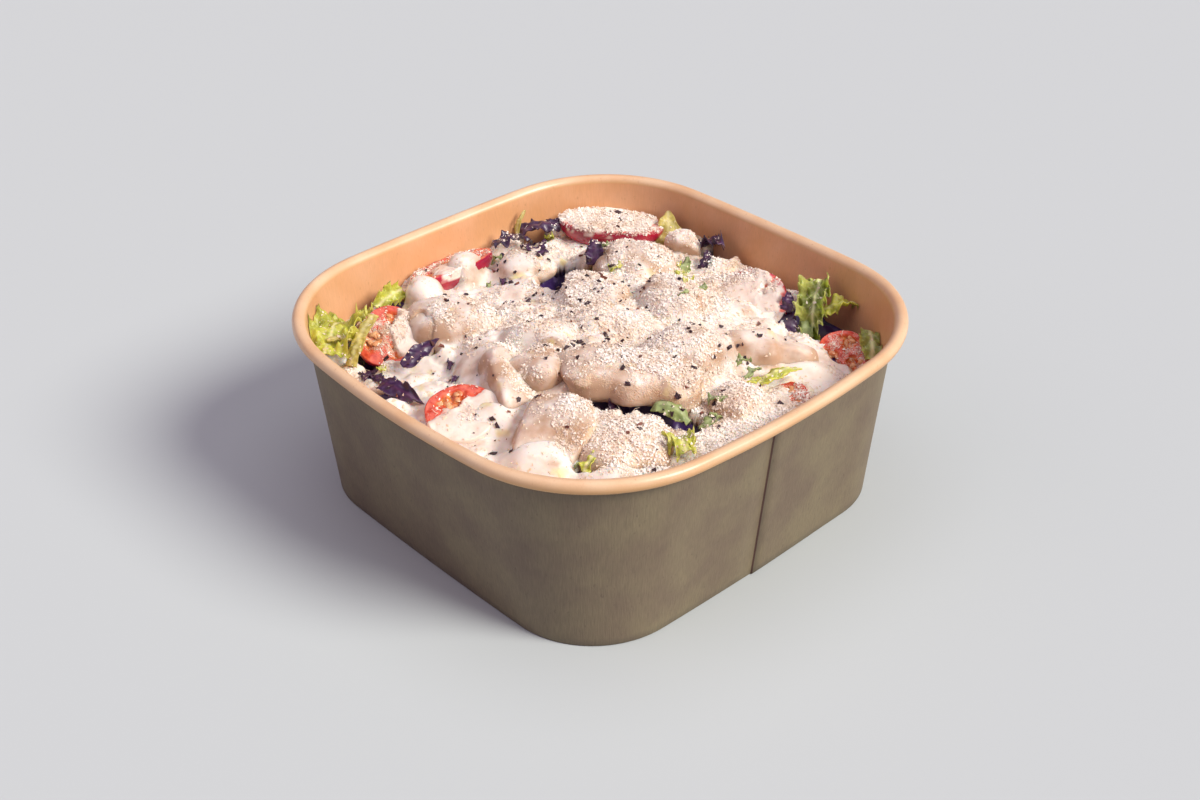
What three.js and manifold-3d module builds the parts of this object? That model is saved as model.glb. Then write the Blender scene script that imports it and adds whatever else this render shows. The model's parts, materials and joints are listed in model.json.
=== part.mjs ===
// A dressed pasta salad in its square paper bowl.
//
// The bowl is two pieces of coated paperboard: a side wall wrapped from one blank, with its ends lapped
// in a seam and its top edge rolled outwards, and a base tray whose skirt is held in the wall's folded
// foot. The salad is one bed of leaves and dressing, with pieces of chicken and pasta, cut cherry
// tomatoes and loose leaves half sunk in it.
//
// Millimetres, +Z up. The origin is on the surface that the bowl stands on, under its middle, and the
// four sides face +X, -X, +Y and -Y. The seam is on the +X side.
import * as THREE from "three";
import { mergeVertices } from "three/addons/utils/BufferGeometryUtils.js";
import Module from "manifold-3d";

const wasm = await Module();
wasm.setup();

// ---------------------------------------------------------------- driving dimensions

const BOWL_WIDTH = 171; // over the rolled rim
const BOWL_HEIGHT = 66;
const ROLL_RADIUS = 2.25;
const RIM_DIP = 0.55; // the rim's line is this much lower at mid-side and higher at the corners
const BOARD = 0.5; // thickness of the board
const CLEARANCE = 0.3; // left between pieces that touch
const FOOT_HALF_WIDTH = 72.5;
const FOOT_CORNER = 31;
const MOUTH_CORNER = 45.5;
const FOOT_BOW = 1 / 1600; // curvature of the sides, which bulge a little
const MOUTH_BOW = 1 / 480;
const HEM_HEIGHT = 5; // of the foot's inner ply
const BASE_TOP = 6.5;
const WALL_LEVELS = [22, 44]; // heights between foot and rim where the wall's outline is followed
const SEAM_Y = -4.5; // where the outer end of the wall blank stops
const LAP_WIDTH = 9;
const LAP_FADE = 34; // the outer ply's extra offset dies out over this length

const ROLL_CENTRE_Z = BOWL_HEIGHT - RIM_DIP - ROLL_RADIUS;
const ROLL_CENTRE_OFFSET = ROLL_RADIUS - BOARD; // from the wall's outer face
const MOUTH_HALF_WIDTH = BOWL_WIDTH / 2 - ROLL_CENTRE_OFFSET - ROLL_RADIUS;

const SALAD_LEVEL = 49; // where the salad meets the wall
const DOME_RISE = 13.5; // of its middle above that
const DOME_MIDDLE = new THREE.Vector2(4, -4);
const DOME_SPREAD = 33;
const HOLLOW_DEPTH = 6; // of the emptier corner, at +X +Y
const HOLLOW_MIDDLE = new THREE.Vector2(64, 62);
const HOLLOW_SPREAD = 19;

// ---------------------------------------------------------------- materials

const material = (color, roughness) => new THREE.MeshStandardMaterial({ color, roughness, metalness: 0 });
const kraftBoard = material(0xd9a066, 0.75);
const baseBoard = material(0xcf9a62, 0.78);
const dressing = material(0xefe3d0, 0.45);
const chickenMeat = material(0xe6d2b8, 0.5);
const pastaDough = material(0xecdcae, 0.5);
const tomatoFlesh = material(0xc8321f, 0.3);
const greenLeaf = material(0x9cb83a, 0.5);
const redLeaf = material(0x3b1a38, 0.45);

// ---------------------------------------------------------------- solids

const asSolid = (geometry) => {
  const bare = geometry.clone();
  for (const name of Object.keys(bare.attributes)) if (name !== "position") bare.deleteAttribute(name);
  const merged = mergeVertices(bare, 1e-4);
  return new wasm.Manifold(
    new wasm.Mesh({
      numProp: 3,
      vertProperties: merged.attributes.position.array,
      triVerts: new Uint32Array(merged.index.array),
    }),
  );
};

const asGeometry = (solid) => {
  const mesh = solid.getMesh();
  return new THREE.BufferGeometry()
    .setAttribute("position", new THREE.BufferAttribute(new Float32Array(mesh.vertProperties), 3))
    .setIndex(new THREE.BufferAttribute(new Uint32Array(mesh.triVerts), 1));
};

const largestBody = (solid) =>
  solid.decompose().reduce((best, body) => (body.volume() > best.volume() ? body : best));

// Points and triangles as an indexed geometry.
const indexed = (points, triangles) =>
  new THREE.BufferGeometry()
    .setAttribute("position", new THREE.Float32BufferAttribute(points.flat(), 3))
    .setIndex(triangles);

// A closed tube of sections: rings of equal length, each joined to the next and the last to the first.
const closedLoft = (rings) => {
  const count = rings[0].length;
  const triangles = [];
  rings.forEach((ring, i) => {
    const next = (i + 1) % rings.length;
    for (let j = 0; j < count; j++) {
      const k = (j + 1) % count;
      const [a, b, c, d] = [i * count + j, i * count + k, next * count + k, next * count + j];
      triangles.push(a, b, c, a, c, d);
    }
  });
  return indexed(rings.flat(), triangles);
};

// Rings joined in order, with a centre point that closes each end.
const cappedLoft = (rings, firstCentre, lastCentre) => {
  const count = rings[0].length;
  const points = [...rings.flat(), firstCentre, lastCentre];
  const [first, last] = [points.length - 2, points.length - 1];
  const lastRing = (rings.length - 1) * count;
  const triangles = [];
  for (let j = 0; j < count; j++) {
    const k = (j + 1) % count;
    triangles.push(first, k, j, last, lastRing + j, lastRing + k);
    for (let i = 0; i < rings.length - 1; i++) {
      const [a, b, c, d] = [i * count + j, i * count + k, (i + 1) * count + k, (i + 1) * count + j];
      triangles.push(a, b, c, a, c, d);
    }
  }
  return indexed(points, triangles);
};

// ---------------------------------------------------------------- the bowl's outline

const SIDE_STEPS = 2; // in each half side
const CORNER_STEPS = 3; // in each half corner

const lerp = THREE.MathUtils.lerp;

// Sizes of the wall's outer face at height z.
const wallAt = (z) => {
  const share = z / ROLL_CENTRE_Z;
  return {
    half: lerp(FOOT_HALF_WIDTH, MOUTH_HALF_WIDTH, share),
    corner: lerp(FOOT_CORNER, MOUTH_CORNER, share),
    bow: lerp(FOOT_BOW, MOUTH_BOW, share),
  };
};

// The side's arc, and the corner's arc that meets it smoothly on the diagonal.
const arcsOf = ({ half, corner, bow }) => {
  const sideRadius = 1 / bow;
  const sideCentre = half - sideRadius;
  const cornerCentre =
    (sideCentre + Math.sqrt(2 * (sideRadius - corner) ** 2 - sideCentre ** 2)) / 2;
  const join = Math.atan2(cornerCentre, cornerCentre - sideCentre);
  return { sideRadius, sideCentre, corner, cornerCentre, join };
};

const onSide = (arcs, angle) => ({
  x: arcs.sideCentre + arcs.sideRadius * Math.cos(angle),
  y: arcs.sideRadius * Math.sin(angle),
  nx: Math.cos(angle),
  ny: Math.sin(angle),
});

const onCorner = (arcs, angle) => ({
  x: arcs.cornerCentre + arcs.corner * Math.cos(angle),
  y: arcs.cornerCentre + arcs.corner * Math.sin(angle),
  nx: Math.cos(angle),
  ny: Math.sin(angle),
});

const quarterTurn = ({ x, y, nx, ny }) => ({ x: -y, y: x, nx: -ny, ny: nx });

// One quarter of the outline, from the middle of the +X side to the middle of the +Y side.
const quarterOutline = (arcs) => {
  const steps = [];
  for (let i = 0; i < SIDE_STEPS; i++) steps.push(onSide(arcs, (arcs.join * i) / SIDE_STEPS));
  const sweep = Math.PI / 2 - 2 * arcs.join;
  for (let i = 0; i < 2 * CORNER_STEPS; i++) {
    steps.push(onCorner(arcs, arcs.join + (sweep * i) / (2 * CORNER_STEPS)));
  }
  for (let i = SIDE_STEPS; i > 0; i--) {
    const { x, y, nx, ny } = onSide(arcs, (arcs.join * i) / SIDE_STEPS);
    steps.push({ x: y, y: x, nx: ny, ny: nx });
  }
  return steps;
};

// The outline at height z, counter-clockwise from the middle of the +X side.
const outlineAt = (z) => {
  let quarter = quarterOutline(arcsOf(wallAt(z)));
  const all = [];
  for (let i = 0; i < 4; i++) {
    all.push(...quarter);
    quarter = quarter.map(quarterTurn);
  }
  return all;
};

// The same outline for the wall, with stations at both edges of the lap. Each station carries how far
// the lap pushes the outer and the inner face outwards.
const STEP_LENGTH = 0.1; // a ply's cut edge, seen from above
const INNER_END_Y = SEAM_Y + LAP_WIDTH;
const lapFade = (y) => THREE.MathUtils.clamp(1 - (y - SEAM_Y) / LAP_FADE, 0, 1);
const wallOutlineAt = (z) => {
  const arcs = arcsOf(wallAt(z));
  const station = (y, outer, inner) => ({ ...onSide(arcs, Math.asin(y / arcs.sideRadius)), outer, inner });
  const [, ...rest] = outlineAt(z);
  const fades = (p) => (p.x > 0 && Math.abs(p.y) < LAP_FADE && p.y > INNER_END_Y ? BOARD * lapFade(p.y) : 0);
  return [
    station(SEAM_Y, 0, 0),
    station(SEAM_Y + STEP_LENGTH, BOARD, 0),
    station(INNER_END_Y - STEP_LENGTH, BOARD * lapFade(INNER_END_Y), 0),
    station(INNER_END_Y, BOARD * lapFade(INNER_END_Y), BOARD * lapFade(INNER_END_Y)),
    ...rest.map((p) => ({ ...p, outer: fades(p), inner: fades(p) })),
  ];
};

// How much higher the rim's line is here; it dies out towards the foot.
const rimLift = (x, y, z) => -RIM_DIP * Math.cos(4 * Math.atan2(y, x)) * (z / BOWL_HEIGHT) ** 3;

const ringPoint = (p, offset, z) => {
  const [x, y] = [p.x + p.nx * offset, p.y + p.ny * offset];
  return [x, y, z + rimLift(x, y, z)];
};

// ---------------------------------------------------------------- the wall and the base

const HEM_SLOT = BOARD + 2 * CLEARANCE; // holds the base's skirt
const ROLL_STEPS = 6;

const bowlWall = () => {
  const outerJoinAngle = Math.PI + Math.acos(ROLL_CENTRE_OFFSET / ROLL_RADIUS);
  const outerJoinZ = ROLL_CENTRE_Z + ROLL_RADIUS * Math.sin(outerJoinAngle);
  // Each entry is a height, an offset from the wall's outer face, and the face that it is on.
  const section = [0, ...WALL_LEVELS, outerJoinZ].map((z) => [z, 0, "outer"]);
  for (let i = 1; i < ROLL_STEPS; i++) {
    const angle = lerp(outerJoinAngle, 3 * Math.PI, i / ROLL_STEPS);
    section.push([
      ROLL_CENTRE_Z + ROLL_RADIUS * Math.sin(angle),
      ROLL_CENTRE_OFFSET + ROLL_RADIUS * Math.cos(angle),
      "roll",
    ]);
  }
  for (const z of [ROLL_CENTRE_Z, ...WALL_LEVELS.toReversed()]) section.push([z, -BOARD, "inner"]);
  section.push(
    [BOARD, -BOARD, "hem"],
    [BOARD, -BOARD - HEM_SLOT, "hem"],
    [HEM_HEIGHT, -BOARD - HEM_SLOT, "hem"],
    [HEM_HEIGHT, -2 * BOARD - HEM_SLOT, "hem"],
    [0, -2 * BOARD - HEM_SLOT, "hem"],
  );
  const rings = section.map(([z, offset, face]) => {
    // The roll keeps the outline of its own centre line.
    const line = wallOutlineAt(face === "roll" ? ROLL_CENTRE_Z : z);
    return line.map((p) => ringPoint(p, offset + (p[face] ?? 0), z));
  });
  return closedLoft(rings);
};

const bowlBase = () => {
  const skirtFoot = BOARD + CLEARANCE;
  const outer = -BOARD - CLEARANCE;
  const inner = outer - BOARD;
  const ring = (z, offset) => outlineAt(z).map((p) => ringPoint(p, offset, z));
  const underside = BASE_TOP - BOARD;
  return cappedLoft(
    [ring(underside, inner), ring(skirtFoot, inner), ring(skirtFoot, outer), ring(BASE_TOP, outer)],
    [0, 0, underside],
    [0, 0, BASE_TOP],
  );
};

// ---------------------------------------------------------------- the bed of salad

const bump = (x, y, middle, spread) =>
  Math.exp(-((x - middle.x) ** 2 + (y - middle.y) ** 2) / (2 * spread ** 2));

// Height of the bed's top, with the unevenness of leaves and pasta under the dressing.
const saladHeight = (x, y) =>
  SALAD_LEVEL +
  DOME_RISE * bump(x, y, DOME_MIDDLE, DOME_SPREAD) -
  HOLLOW_DEPTH * bump(x, y, HOLLOW_MIDDLE, HOLLOW_SPREAD) +
  1.3 * Math.sin(x / 7.5 + 1.1) * Math.cos(y / 8.5 - 0.4) +
  0.8 * Math.sin(x / 4.1 - y / 5.3);

// What the bowl leaves free for its contents: everything within a line just clear of the wall.
const insideOfBowl = () => {
  const ring = (z, top) =>
    outlineAt(z).map((p) => {
      const [x, y, lifted] = ringPoint(p, -BOARD - CLEARANCE, z);
      return [x, y, top ?? lifted];
    });
  const bottom = BASE_TOP + CLEARANCE;
  const top = BOWL_HEIGHT + 20;
  return cappedLoft(
    [ring(bottom, bottom), ...WALL_LEVELS.map((z) => ring(z)), ring(ROLL_CENTRE_Z), ring(ROLL_CENTRE_Z, top)],
    [0, 0, bottom],
    [0, 0, top],
  );
};

const BED_RINGS = 6;

// The bed before the wall trims its sides.
const saladBed = () => {
  const ring = (share, height) =>
    outlineAt(BOWL_HEIGHT).map((p) => {
      const [x, y] = [p.x * share, p.y * share];
      return [x, y, height ?? saladHeight(x, y)];
    });
  const rings = [ring(1, 0)];
  for (let i = 0; i < BED_RINGS; i++) rings.push(ring(1 - i / BED_RINGS));
  return cappedLoft(rings, [0, 0, 0], [0, 0, saladHeight(0, 0)]);
};

// ---------------------------------------------------------------- pieces in the bed

const degrees = THREE.MathUtils.degToRad;

// Places a geometry that was made round its own middle. turn is yaw, pitch and roll in degrees.
const placed = (geometry, at, turn) => {
  const [yaw, pitch, roll] = turn.map(degrees);
  const rotation = new THREE.Euler(roll, pitch, yaw, "ZYX");
  return geometry.applyMatrix4(
    new THREE.Matrix4().makeRotationFromEuler(rotation).setPosition(...at),
  );
};

// A rounded chunk of cooked chicken, with blunt sides and a few soft dents.
const chickenPiece = ({ size, at, turn, seed }, grow) => {
  const geometry = new THREE.SphereGeometry(1, 9, 6);
  const position = geometry.attributes.position;
  const v = new THREE.Vector3();
  for (let i = 0; i < position.count; i++) {
    v.fromBufferAttribute(position, i);
    const blunt = 1 / (Math.abs(v.x) ** 2.8 + Math.abs(v.y) ** 2.8 + Math.abs(v.z) ** 2.8) ** (1 / 2.8);
    const dent = 1 + 0.06 * Math.sin(3 * v.x + 2 * v.y + seed) * Math.cos(2 * v.z - seed);
    const k = blunt * dent;
    // The chunk droops a little towards both ends.
    const droop = 0.16 * size[2] * v.x ** 2;
    position.setXYZ(
      i,
      v.x * k * (size[0] + grow),
      v.y * k * (size[1] + grow),
      v.z * k * (size[2] + grow) - droop,
    );
  }
  return placed(geometry, at, turn);
};

// A pasta shell: an egg of dough, fuller at its middle, with a groove along its top where its lips meet.
const pastaShell = ({ size, at, turn }, grow) => {
  const geometry = new THREE.SphereGeometry(1, 9, 6);
  const position = geometry.attributes.position;
  const v = new THREE.Vector3();
  for (let i = 0; i < position.count; i++) {
    v.fromBufferAttribute(position, i);
    const taper = 1 - 0.22 * v.x;
    const groove = grow ? 0 : 0.2 * size[2] * Math.exp(-((v.y / 0.28) ** 2)) * Math.max(v.z, 0);
    position.setXYZ(
      i,
      v.x * (size[0] + grow),
      v.y * (size[1] + grow) * taper,
      v.z * (size[2] + grow) * taper - groove,
    );
  }
  return placed(geometry, at, turn);
};

// Half a cherry tomato: a dome of skin under a flat cut face, whose seed cavity dips a little.
const tomatoHalf = ({ size, at, turn }, grow) => {
  const rings = 3;
  const profile = [];
  for (let i = 0; i <= rings; i++) {
    const angle = -Math.PI / 2 + (i / rings) * (Math.PI / 2);
    profile.push(new THREE.Vector2(Math.cos(angle) * (i === 0 ? 0 : 1), Math.sin(angle)));
  }
  profile.push(new THREE.Vector2(0.72, grow ? 0 : -0.02), new THREE.Vector2(0, grow ? 0 : -0.12));
  const geometry = new THREE.LatheGeometry(profile, 11).rotateX(Math.PI / 2);
  geometry.scale(size[0] + grow, size[1] + grow, size[2] + 2 * grow).translate(0, 0, grow);
  return placed(geometry, at, turn);
};

// A leaf as a thin ruffled sheet. Its edge is longer than its rib, so it waves, and it arches along its
// length. taper is the width left at the tip, and frill the height of the waves.
const leaf = ({ length, width, thickness, frill, waves, arch, taper, at, turn }, grow) => {
  const [along, across] = [5, 2];
  const sheet = [1, -1].map((side) => {
    const points = [];
    for (let i = 0; i <= along; i++) {
      for (let j = 0; j <= across; j++) {
        const [u, v] = [i / along, (2 * j) / across - 1];
        const spread = Math.sin(Math.PI * (0.12 + 0.88 * u) ** 0.8) * (1 - taper) + taper;
        const lift = frill * v ** 2 * Math.sin(waves * Math.PI * u + (v > 0 ? 0 : 1.9));
        points.push([
          (u - 0.5) * (length + 2 * grow),
          v * ((spread * width) / 2 + grow),
          arch * Math.sin(Math.PI * u) + lift + side * (thickness / 2 + 3 * grow),
        ]);
      }
    }
    return points;
  });
  const row = across + 1;
  const bottom = (along + 1) * row;
  const triangles = [];
  for (let i = 0; i < along; i++) {
    for (let j = 0; j < across; j++) {
      const [a, b, c, d] = [i * row + j, i * row + j + 1, (i + 1) * row + j + 1, (i + 1) * row + j];
      triangles.push(a, d, c, a, c, b);
      triangles.push(bottom + a, bottom + c, bottom + d, bottom + a, bottom + b, bottom + c);
    }
  }
  const edge = [];
  for (let j = 0; j < across; j++) edge.push(j);
  for (let i = 0; i < along; i++) edge.push(i * row + across);
  for (let j = across; j > 0; j--) edge.push(along * row + j);
  for (let i = along; i > 0; i--) edge.push(i * row);
  edge.forEach((a, k) => {
    const b = edge[(k + 1) % edge.length];
    triangles.push(a, b, bottom + b, a, bottom + b, bottom + a);
  });
  return placed(indexed(sheet.flat(), triangles), at, turn);
};

// Each piece is listed in the order it was laid: a later one is trimmed round the earlier ones.
const chicken = (name, at, size, turn, seed) => ({
  name, make: chickenPiece, material: chickenMeat, at, size, turn, seed,
});
const pasta = (name, at, size, turn) => ({ name, make: pastaShell, material: pastaDough, at, size, turn });
const tomato = (name, at, size, turn) => ({ name, make: tomatoHalf, material: tomatoFlesh, at, size, turn });
const green = (name, at, shape, turn) => ({ name, make: leaf, material: greenLeaf, at, turn, ...shape });
const red = (name, at, shape, turn) => ({ name, make: leaf, material: redLeaf, at, turn, ...shape });

const PIECES = [
  tomato("tomato_far_corner", [-56, 58, 55], [19.5, 13, 10.5], [43, 4, -8]),
  tomato("tomato_left_far", [-71, -5, 55], [17, 10, 9], [92, 0, -16]),
  tomato("tomato_left_near", [-45.8, -50, 55], [11, 11, 9], [-40, 34, 0]),
  tomato("tomato_near", [5, -61, 55], [11.5, 11.5, 9], [40, 0, 18]),
  tomato("tomato_right", [53, 60, 45.5], [8.8, 8.4, 6.5], [42, 0, 42]),
  tomato("tomato_right_far", [15.5, 55.1, 51.5], [13, 13, 9], [24, -6, 36]),
  tomato("tomato_near_right", [63, 20, 50.5], [8, 7.5, 6.5], [0, -8, 20]),

  chicken("chicken_top_strip", [31.6, -16.7, 60], [22.5, 8.6, 6], [38, 4, 12], 0.4),
  chicken("chicken_near", [33, -49, 54], [15.5, 11.5, 8], [-52, 12, 6], 2.1),
  chicken("chicken_near_right", [50.7, -36.2, 52.5], [14.5, 11.5, 6.8], [58, 4, 8], 3.3),
  chicken("chicken_left_near", [5, -43.5, 57], [13, 6, 7], [-22, 18, 0], 4.2),
  chicken("chicken_right", [42.4, 35.7, 51.2], [15.5, 7.8, 6.8], [50, 14, 0], 5.0),
  chicken("chicken_peak", [-13, 8, 60.5], [13, 10.5, 7.2], [24, -6, 0], 1.2),

  pasta("pasta_top_left", [8.5, -31, 58.3], [9.5, 8.5, 7.6], [60, 0, 0]),
  pasta("pasta_top_right", [9, 24, 59], [14, 10, 7.6], [-38, 6, 0]),
  pasta("pasta_right_mid", [34, 7, 58.5], [14, 10.5, 7.2], [70, 0, 8]),
  pasta("pasta_left_wall_near", [-61, -24, 51.5], [9.5, 6.6, 6.6], [-28, 10, 0]),
  pasta("pasta_left_wall_far", [-65, -3, 53.5], [9, 7.6, 6.8], [64, 0, 0]),
  pasta("pasta_left_slope", [-36, -30, 55], [17, 12, 8], [30, 0, 0]),
  pasta("pasta_far_slope", [-26, 42, 54], [15, 11, 7.2], [35, 0, 0]),
  pasta("pasta_far_left", [-51, 14, 54], [12, 10, 7], [60, 0, 0]),
  pasta("pasta_near_right_wall", [59, 2, 54], [11, 8.5, 6], [80, 0, 0]),
  chicken("chicken_far_wall", [-29.5, 68.5, 51], [6.5, 4.5, 4.6], [20, 10, 0], 0.9),

  green("lettuce_left", [-60, -63, 49.5],
    { length: 30, width: 20, thickness: 1.6, frill: 3.5, waves: 3, arch: 5, taper: 0.6 }, [-50, -10, 6]),
  green("lettuce_left_frill", [-69, -33, 51],
    { length: 15, width: 9, thickness: 1.4, frill: 2, waves: 3, arch: 2, taper: 0.5 }, [-76, 0, -30]),
  green("lettuce_stem_left", [-50.5, -57.5, 54.5],
    { length: 22, width: 5.5, thickness: 2.4, frill: 0, waves: 1, arch: 2, taper: 0.8 }, [124, -10, 0]),
  green("lettuce_right", [33.2, 69, 49.5],
    { length: 23, width: 15, thickness: 1.6, frill: 3, waves: 3, arch: 4, taper: 0.4 }, [-55, 46, 10]),
  green("lettuce_right_corner", [58, 70, 46],
    { length: 13, width: 9, thickness: 1.6, frill: 2, waves: 2, arch: 2, taper: 0.6 }, [-45, 20, 0]),
  green("lettuce_near_right", [54, -11, 54.5],
    { length: 18, width: 10, thickness: 1.6, frill: 1.5, waves: 2, arch: 2, taper: 0.4 }, [20, 16, 8]),
  green("lettuce_tongue", [56, 25, 52.5],
    { length: 16, width: 7, thickness: 1.6, frill: 0.6, waves: 2, arch: 2, taper: 0.3 }, [64, -12, 0]),
  green("lettuce_rim_frill", [62, -26, 53.5],
    { length: 12, width: 9, thickness: 1.6, frill: 2.2, waves: 3, arch: 2, taper: 0.6 }, [-30, -20, 0]),
  green("lettuce_far_wedge", [-39, 72, 52],
    { length: 14, width: 9, thickness: 2, frill: 0.8, waves: 1, arch: 1.5, taper: 0.3 }, [50, -58, 0]),
  red("red_leaf_blade", [-29, -50, 56.5],
    { length: 15, width: 6, thickness: 1.4, frill: 0, waves: 1, arch: 1, taper: 0.15 }, [95, -12, 20]),
  red("red_leaf_rim", [-22, -65, 51.5],
    { length: 20, width: 12, thickness: 1.6, frill: 2.2, waves: 3, arch: 2, taper: 0.4 }, [8, 0, 20]),
  red("red_leaf_far", [-71, 37, 52],
    { length: 19, width: 12, thickness: 1.6, frill: 2.6, waves: 3, arch: 3, taper: 0.5 }, [50, -10, 10]),
  red("red_leaf_left_far", [-69, 22, 53],
    { length: 15, width: 9, thickness: 1.4, frill: 2, waves: 3, arch: 2, taper: 0.4 }, [70, 0, -10]),
  red("red_leaf_far_wall", [-20, 74, 51.5],
    { length: 14, width: 8, thickness: 1.6, frill: 2.2, waves: 3, arch: 2, taper: 0.5 }, [-20, -28, 0]),
];

// ---------------------------------------------------------------- assembly

const bowl = new THREE.Group();

const addMesh = (name, geometry, finish) => {
  const mesh = new THREE.Mesh(geometry, finish);
  mesh.name = name;
  bowl.add(mesh);
};

addMesh("bowl_wall", bowlWall(), kraftBoard);
addMesh("bowl_base", bowlBase(), baseBoard);

const room = asSolid(insideOfBowl());
let taken = null;
for (const piece of PIECES) {
  let solid = asSolid(piece.make(piece, 0)).intersect(room);
  if (taken) solid = solid.subtract(taken);
  addMesh(piece.name, asGeometry(largestBody(solid)), piece.material);
  const grown = asSolid(piece.make(piece, CLEARANCE));
  taken = taken ? taken.add(grown) : grown;
}
addMesh("salad_bed", asGeometry(largestBody(asSolid(saladBed()).intersect(room).subtract(taken))), dressing);

export default bowl;
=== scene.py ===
import json
import math

import bpy
import numpy as np
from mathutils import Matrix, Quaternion, Vector
from mathutils.bvhtree import BVHTree

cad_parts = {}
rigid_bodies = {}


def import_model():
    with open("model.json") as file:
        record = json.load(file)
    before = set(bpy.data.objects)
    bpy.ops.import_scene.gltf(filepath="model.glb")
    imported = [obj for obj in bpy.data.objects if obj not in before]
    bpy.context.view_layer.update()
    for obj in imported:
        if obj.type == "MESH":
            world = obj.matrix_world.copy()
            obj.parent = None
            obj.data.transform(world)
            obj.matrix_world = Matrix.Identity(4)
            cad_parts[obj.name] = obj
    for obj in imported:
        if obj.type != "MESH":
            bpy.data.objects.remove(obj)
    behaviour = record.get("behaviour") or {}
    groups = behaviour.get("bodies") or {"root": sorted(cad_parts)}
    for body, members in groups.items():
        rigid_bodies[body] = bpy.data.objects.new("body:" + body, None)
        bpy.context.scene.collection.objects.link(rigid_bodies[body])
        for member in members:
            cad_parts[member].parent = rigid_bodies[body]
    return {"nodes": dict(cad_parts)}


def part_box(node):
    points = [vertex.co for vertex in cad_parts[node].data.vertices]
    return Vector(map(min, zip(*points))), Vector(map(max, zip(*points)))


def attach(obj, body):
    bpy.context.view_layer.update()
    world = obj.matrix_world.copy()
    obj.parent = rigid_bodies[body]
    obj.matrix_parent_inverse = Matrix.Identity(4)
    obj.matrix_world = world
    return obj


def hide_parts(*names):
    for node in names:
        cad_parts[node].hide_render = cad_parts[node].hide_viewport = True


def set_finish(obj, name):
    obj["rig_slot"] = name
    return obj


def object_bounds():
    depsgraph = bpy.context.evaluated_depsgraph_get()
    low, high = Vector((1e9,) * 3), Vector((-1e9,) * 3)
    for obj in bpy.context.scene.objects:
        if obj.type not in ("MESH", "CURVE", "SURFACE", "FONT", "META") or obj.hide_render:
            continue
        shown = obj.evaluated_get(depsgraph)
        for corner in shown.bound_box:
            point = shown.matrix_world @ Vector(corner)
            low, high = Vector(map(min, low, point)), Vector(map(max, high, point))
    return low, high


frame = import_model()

cad_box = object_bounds()

# ---------------------------------------------------------------------------------------------------
# The side wall of the bowl: one blank of 0.5 mm kraft board with a thin food coating inside. Its ends are
# lapped and glued in a seam on the +X side, its top edge is rolled outwards, and its foot is folded in
# and up to hold the base.
# ---------------------------------------------------------------------------------------------------

METRES = 0.001  # of a millimetre, in which every length in this script is given


def extent(node_name):
    """Lowest and highest corner of a CAD node in millimetres."""
    low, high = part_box(node_name)
    return np.array(low) / METRES, np.array(high) / METRES


wall_high = extent("bowl_wall")[1]
BOARD = 0.5
ROLL_RADIUS = 2.25
RIM_DIP = 0.55  # mid-sides of the rim lie this much lower, corners this much higher
ROLL_OFFSET = ROLL_RADIUS - BOARD  # the roll's middle line lies this far outside the wall
ROLL_Z = wall_high[2] - RIM_DIP - ROLL_RADIUS
MOUTH_HALF = wall_high[0] - ROLL_OFFSET - ROLL_RADIUS
FOOT_HALF = 72.5
MOUTH_CORNER, FOOT_CORNER = 45.5, 31
MOUTH_BOW, FOOT_BOW = 1 / 480, 1 / 1600  # curvature of the bulging sides
HEM_GAP = BOARD + 0.6  # the slot that holds the base's skirt
HEM_HEIGHT = 5
EDGE = 0.35  # rounding of the folded foot
SEAM_FOOT_Y, SEAM_MOUTH_Y = -3.5, -5.8  # the lap's outer edge leans a little
SEAM_EDGE, SEAM_GROOVE = 0.12, 0.35  # width of the lap's cut edge, and depth of the dark line beside it
LAP_WIDTH, LAP_FADE = 9, 34  # the lap's step dies out over the second length
SIDE_STEPS, CORNER_STEPS = 10, 24  # points on half a side and on a corner
PLAIN, LINED, CUT, ROLLED = 0, 1, 2, 3  # the board's finishes, in the order of its materials


def mix(a, b, t):
    return a + (b - a) * t


def sides_at(z):
    """Half width, corner radius and side radius of the wall's outer line at height z."""
    t = z / ROLL_Z
    return mix(FOOT_HALF, MOUTH_HALF, t), mix(FOOT_CORNER, MOUTH_CORNER, t), 1 / mix(FOOT_BOW, MOUTH_BOW, t)


def outline(z):
    """The wall's outer line at height z, from the middle of the +X side: points and their normals."""
    half, corner, side_radius = sides_at(z)
    side_centre = half - side_radius
    corner_centre = (side_centre + math.sqrt(2 * (side_radius - corner) ** 2 - side_centre**2)) / 2
    join = math.atan2(corner_centre, corner_centre - side_centre)
    side = np.arange(SIDE_STEPS) / SIDE_STEPS * join
    bend = join + (math.pi / 2 - 2 * join) * np.arange(CORNER_STEPS) / CORNER_STEPS
    last = math.pi / 2 - join * np.arange(SIDE_STEPS, 0, -1) / SIDE_STEPS
    points = np.concatenate([
        np.stack([side_centre + side_radius * np.cos(side), side_radius * np.sin(side)], 1),
        corner_centre + corner * np.stack([np.cos(bend), np.sin(bend)], 1),
        np.stack([side_radius * np.cos(last), side_centre + side_radius * np.sin(last)], 1),
    ])
    angles = np.concatenate([side, bend, last])
    normals = np.stack([np.cos(angles), np.sin(angles)], 1)
    turn = np.array([[0, 1], [-1, 0]])
    quarters = [(points, normals)]
    for _ in range(3):
        quarters.append((quarters[-1][0] @ turn, quarters[-1][1] @ turn))
    return np.concatenate([q[0] for q in quarters]), np.concatenate([q[1] for q in quarters])


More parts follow.
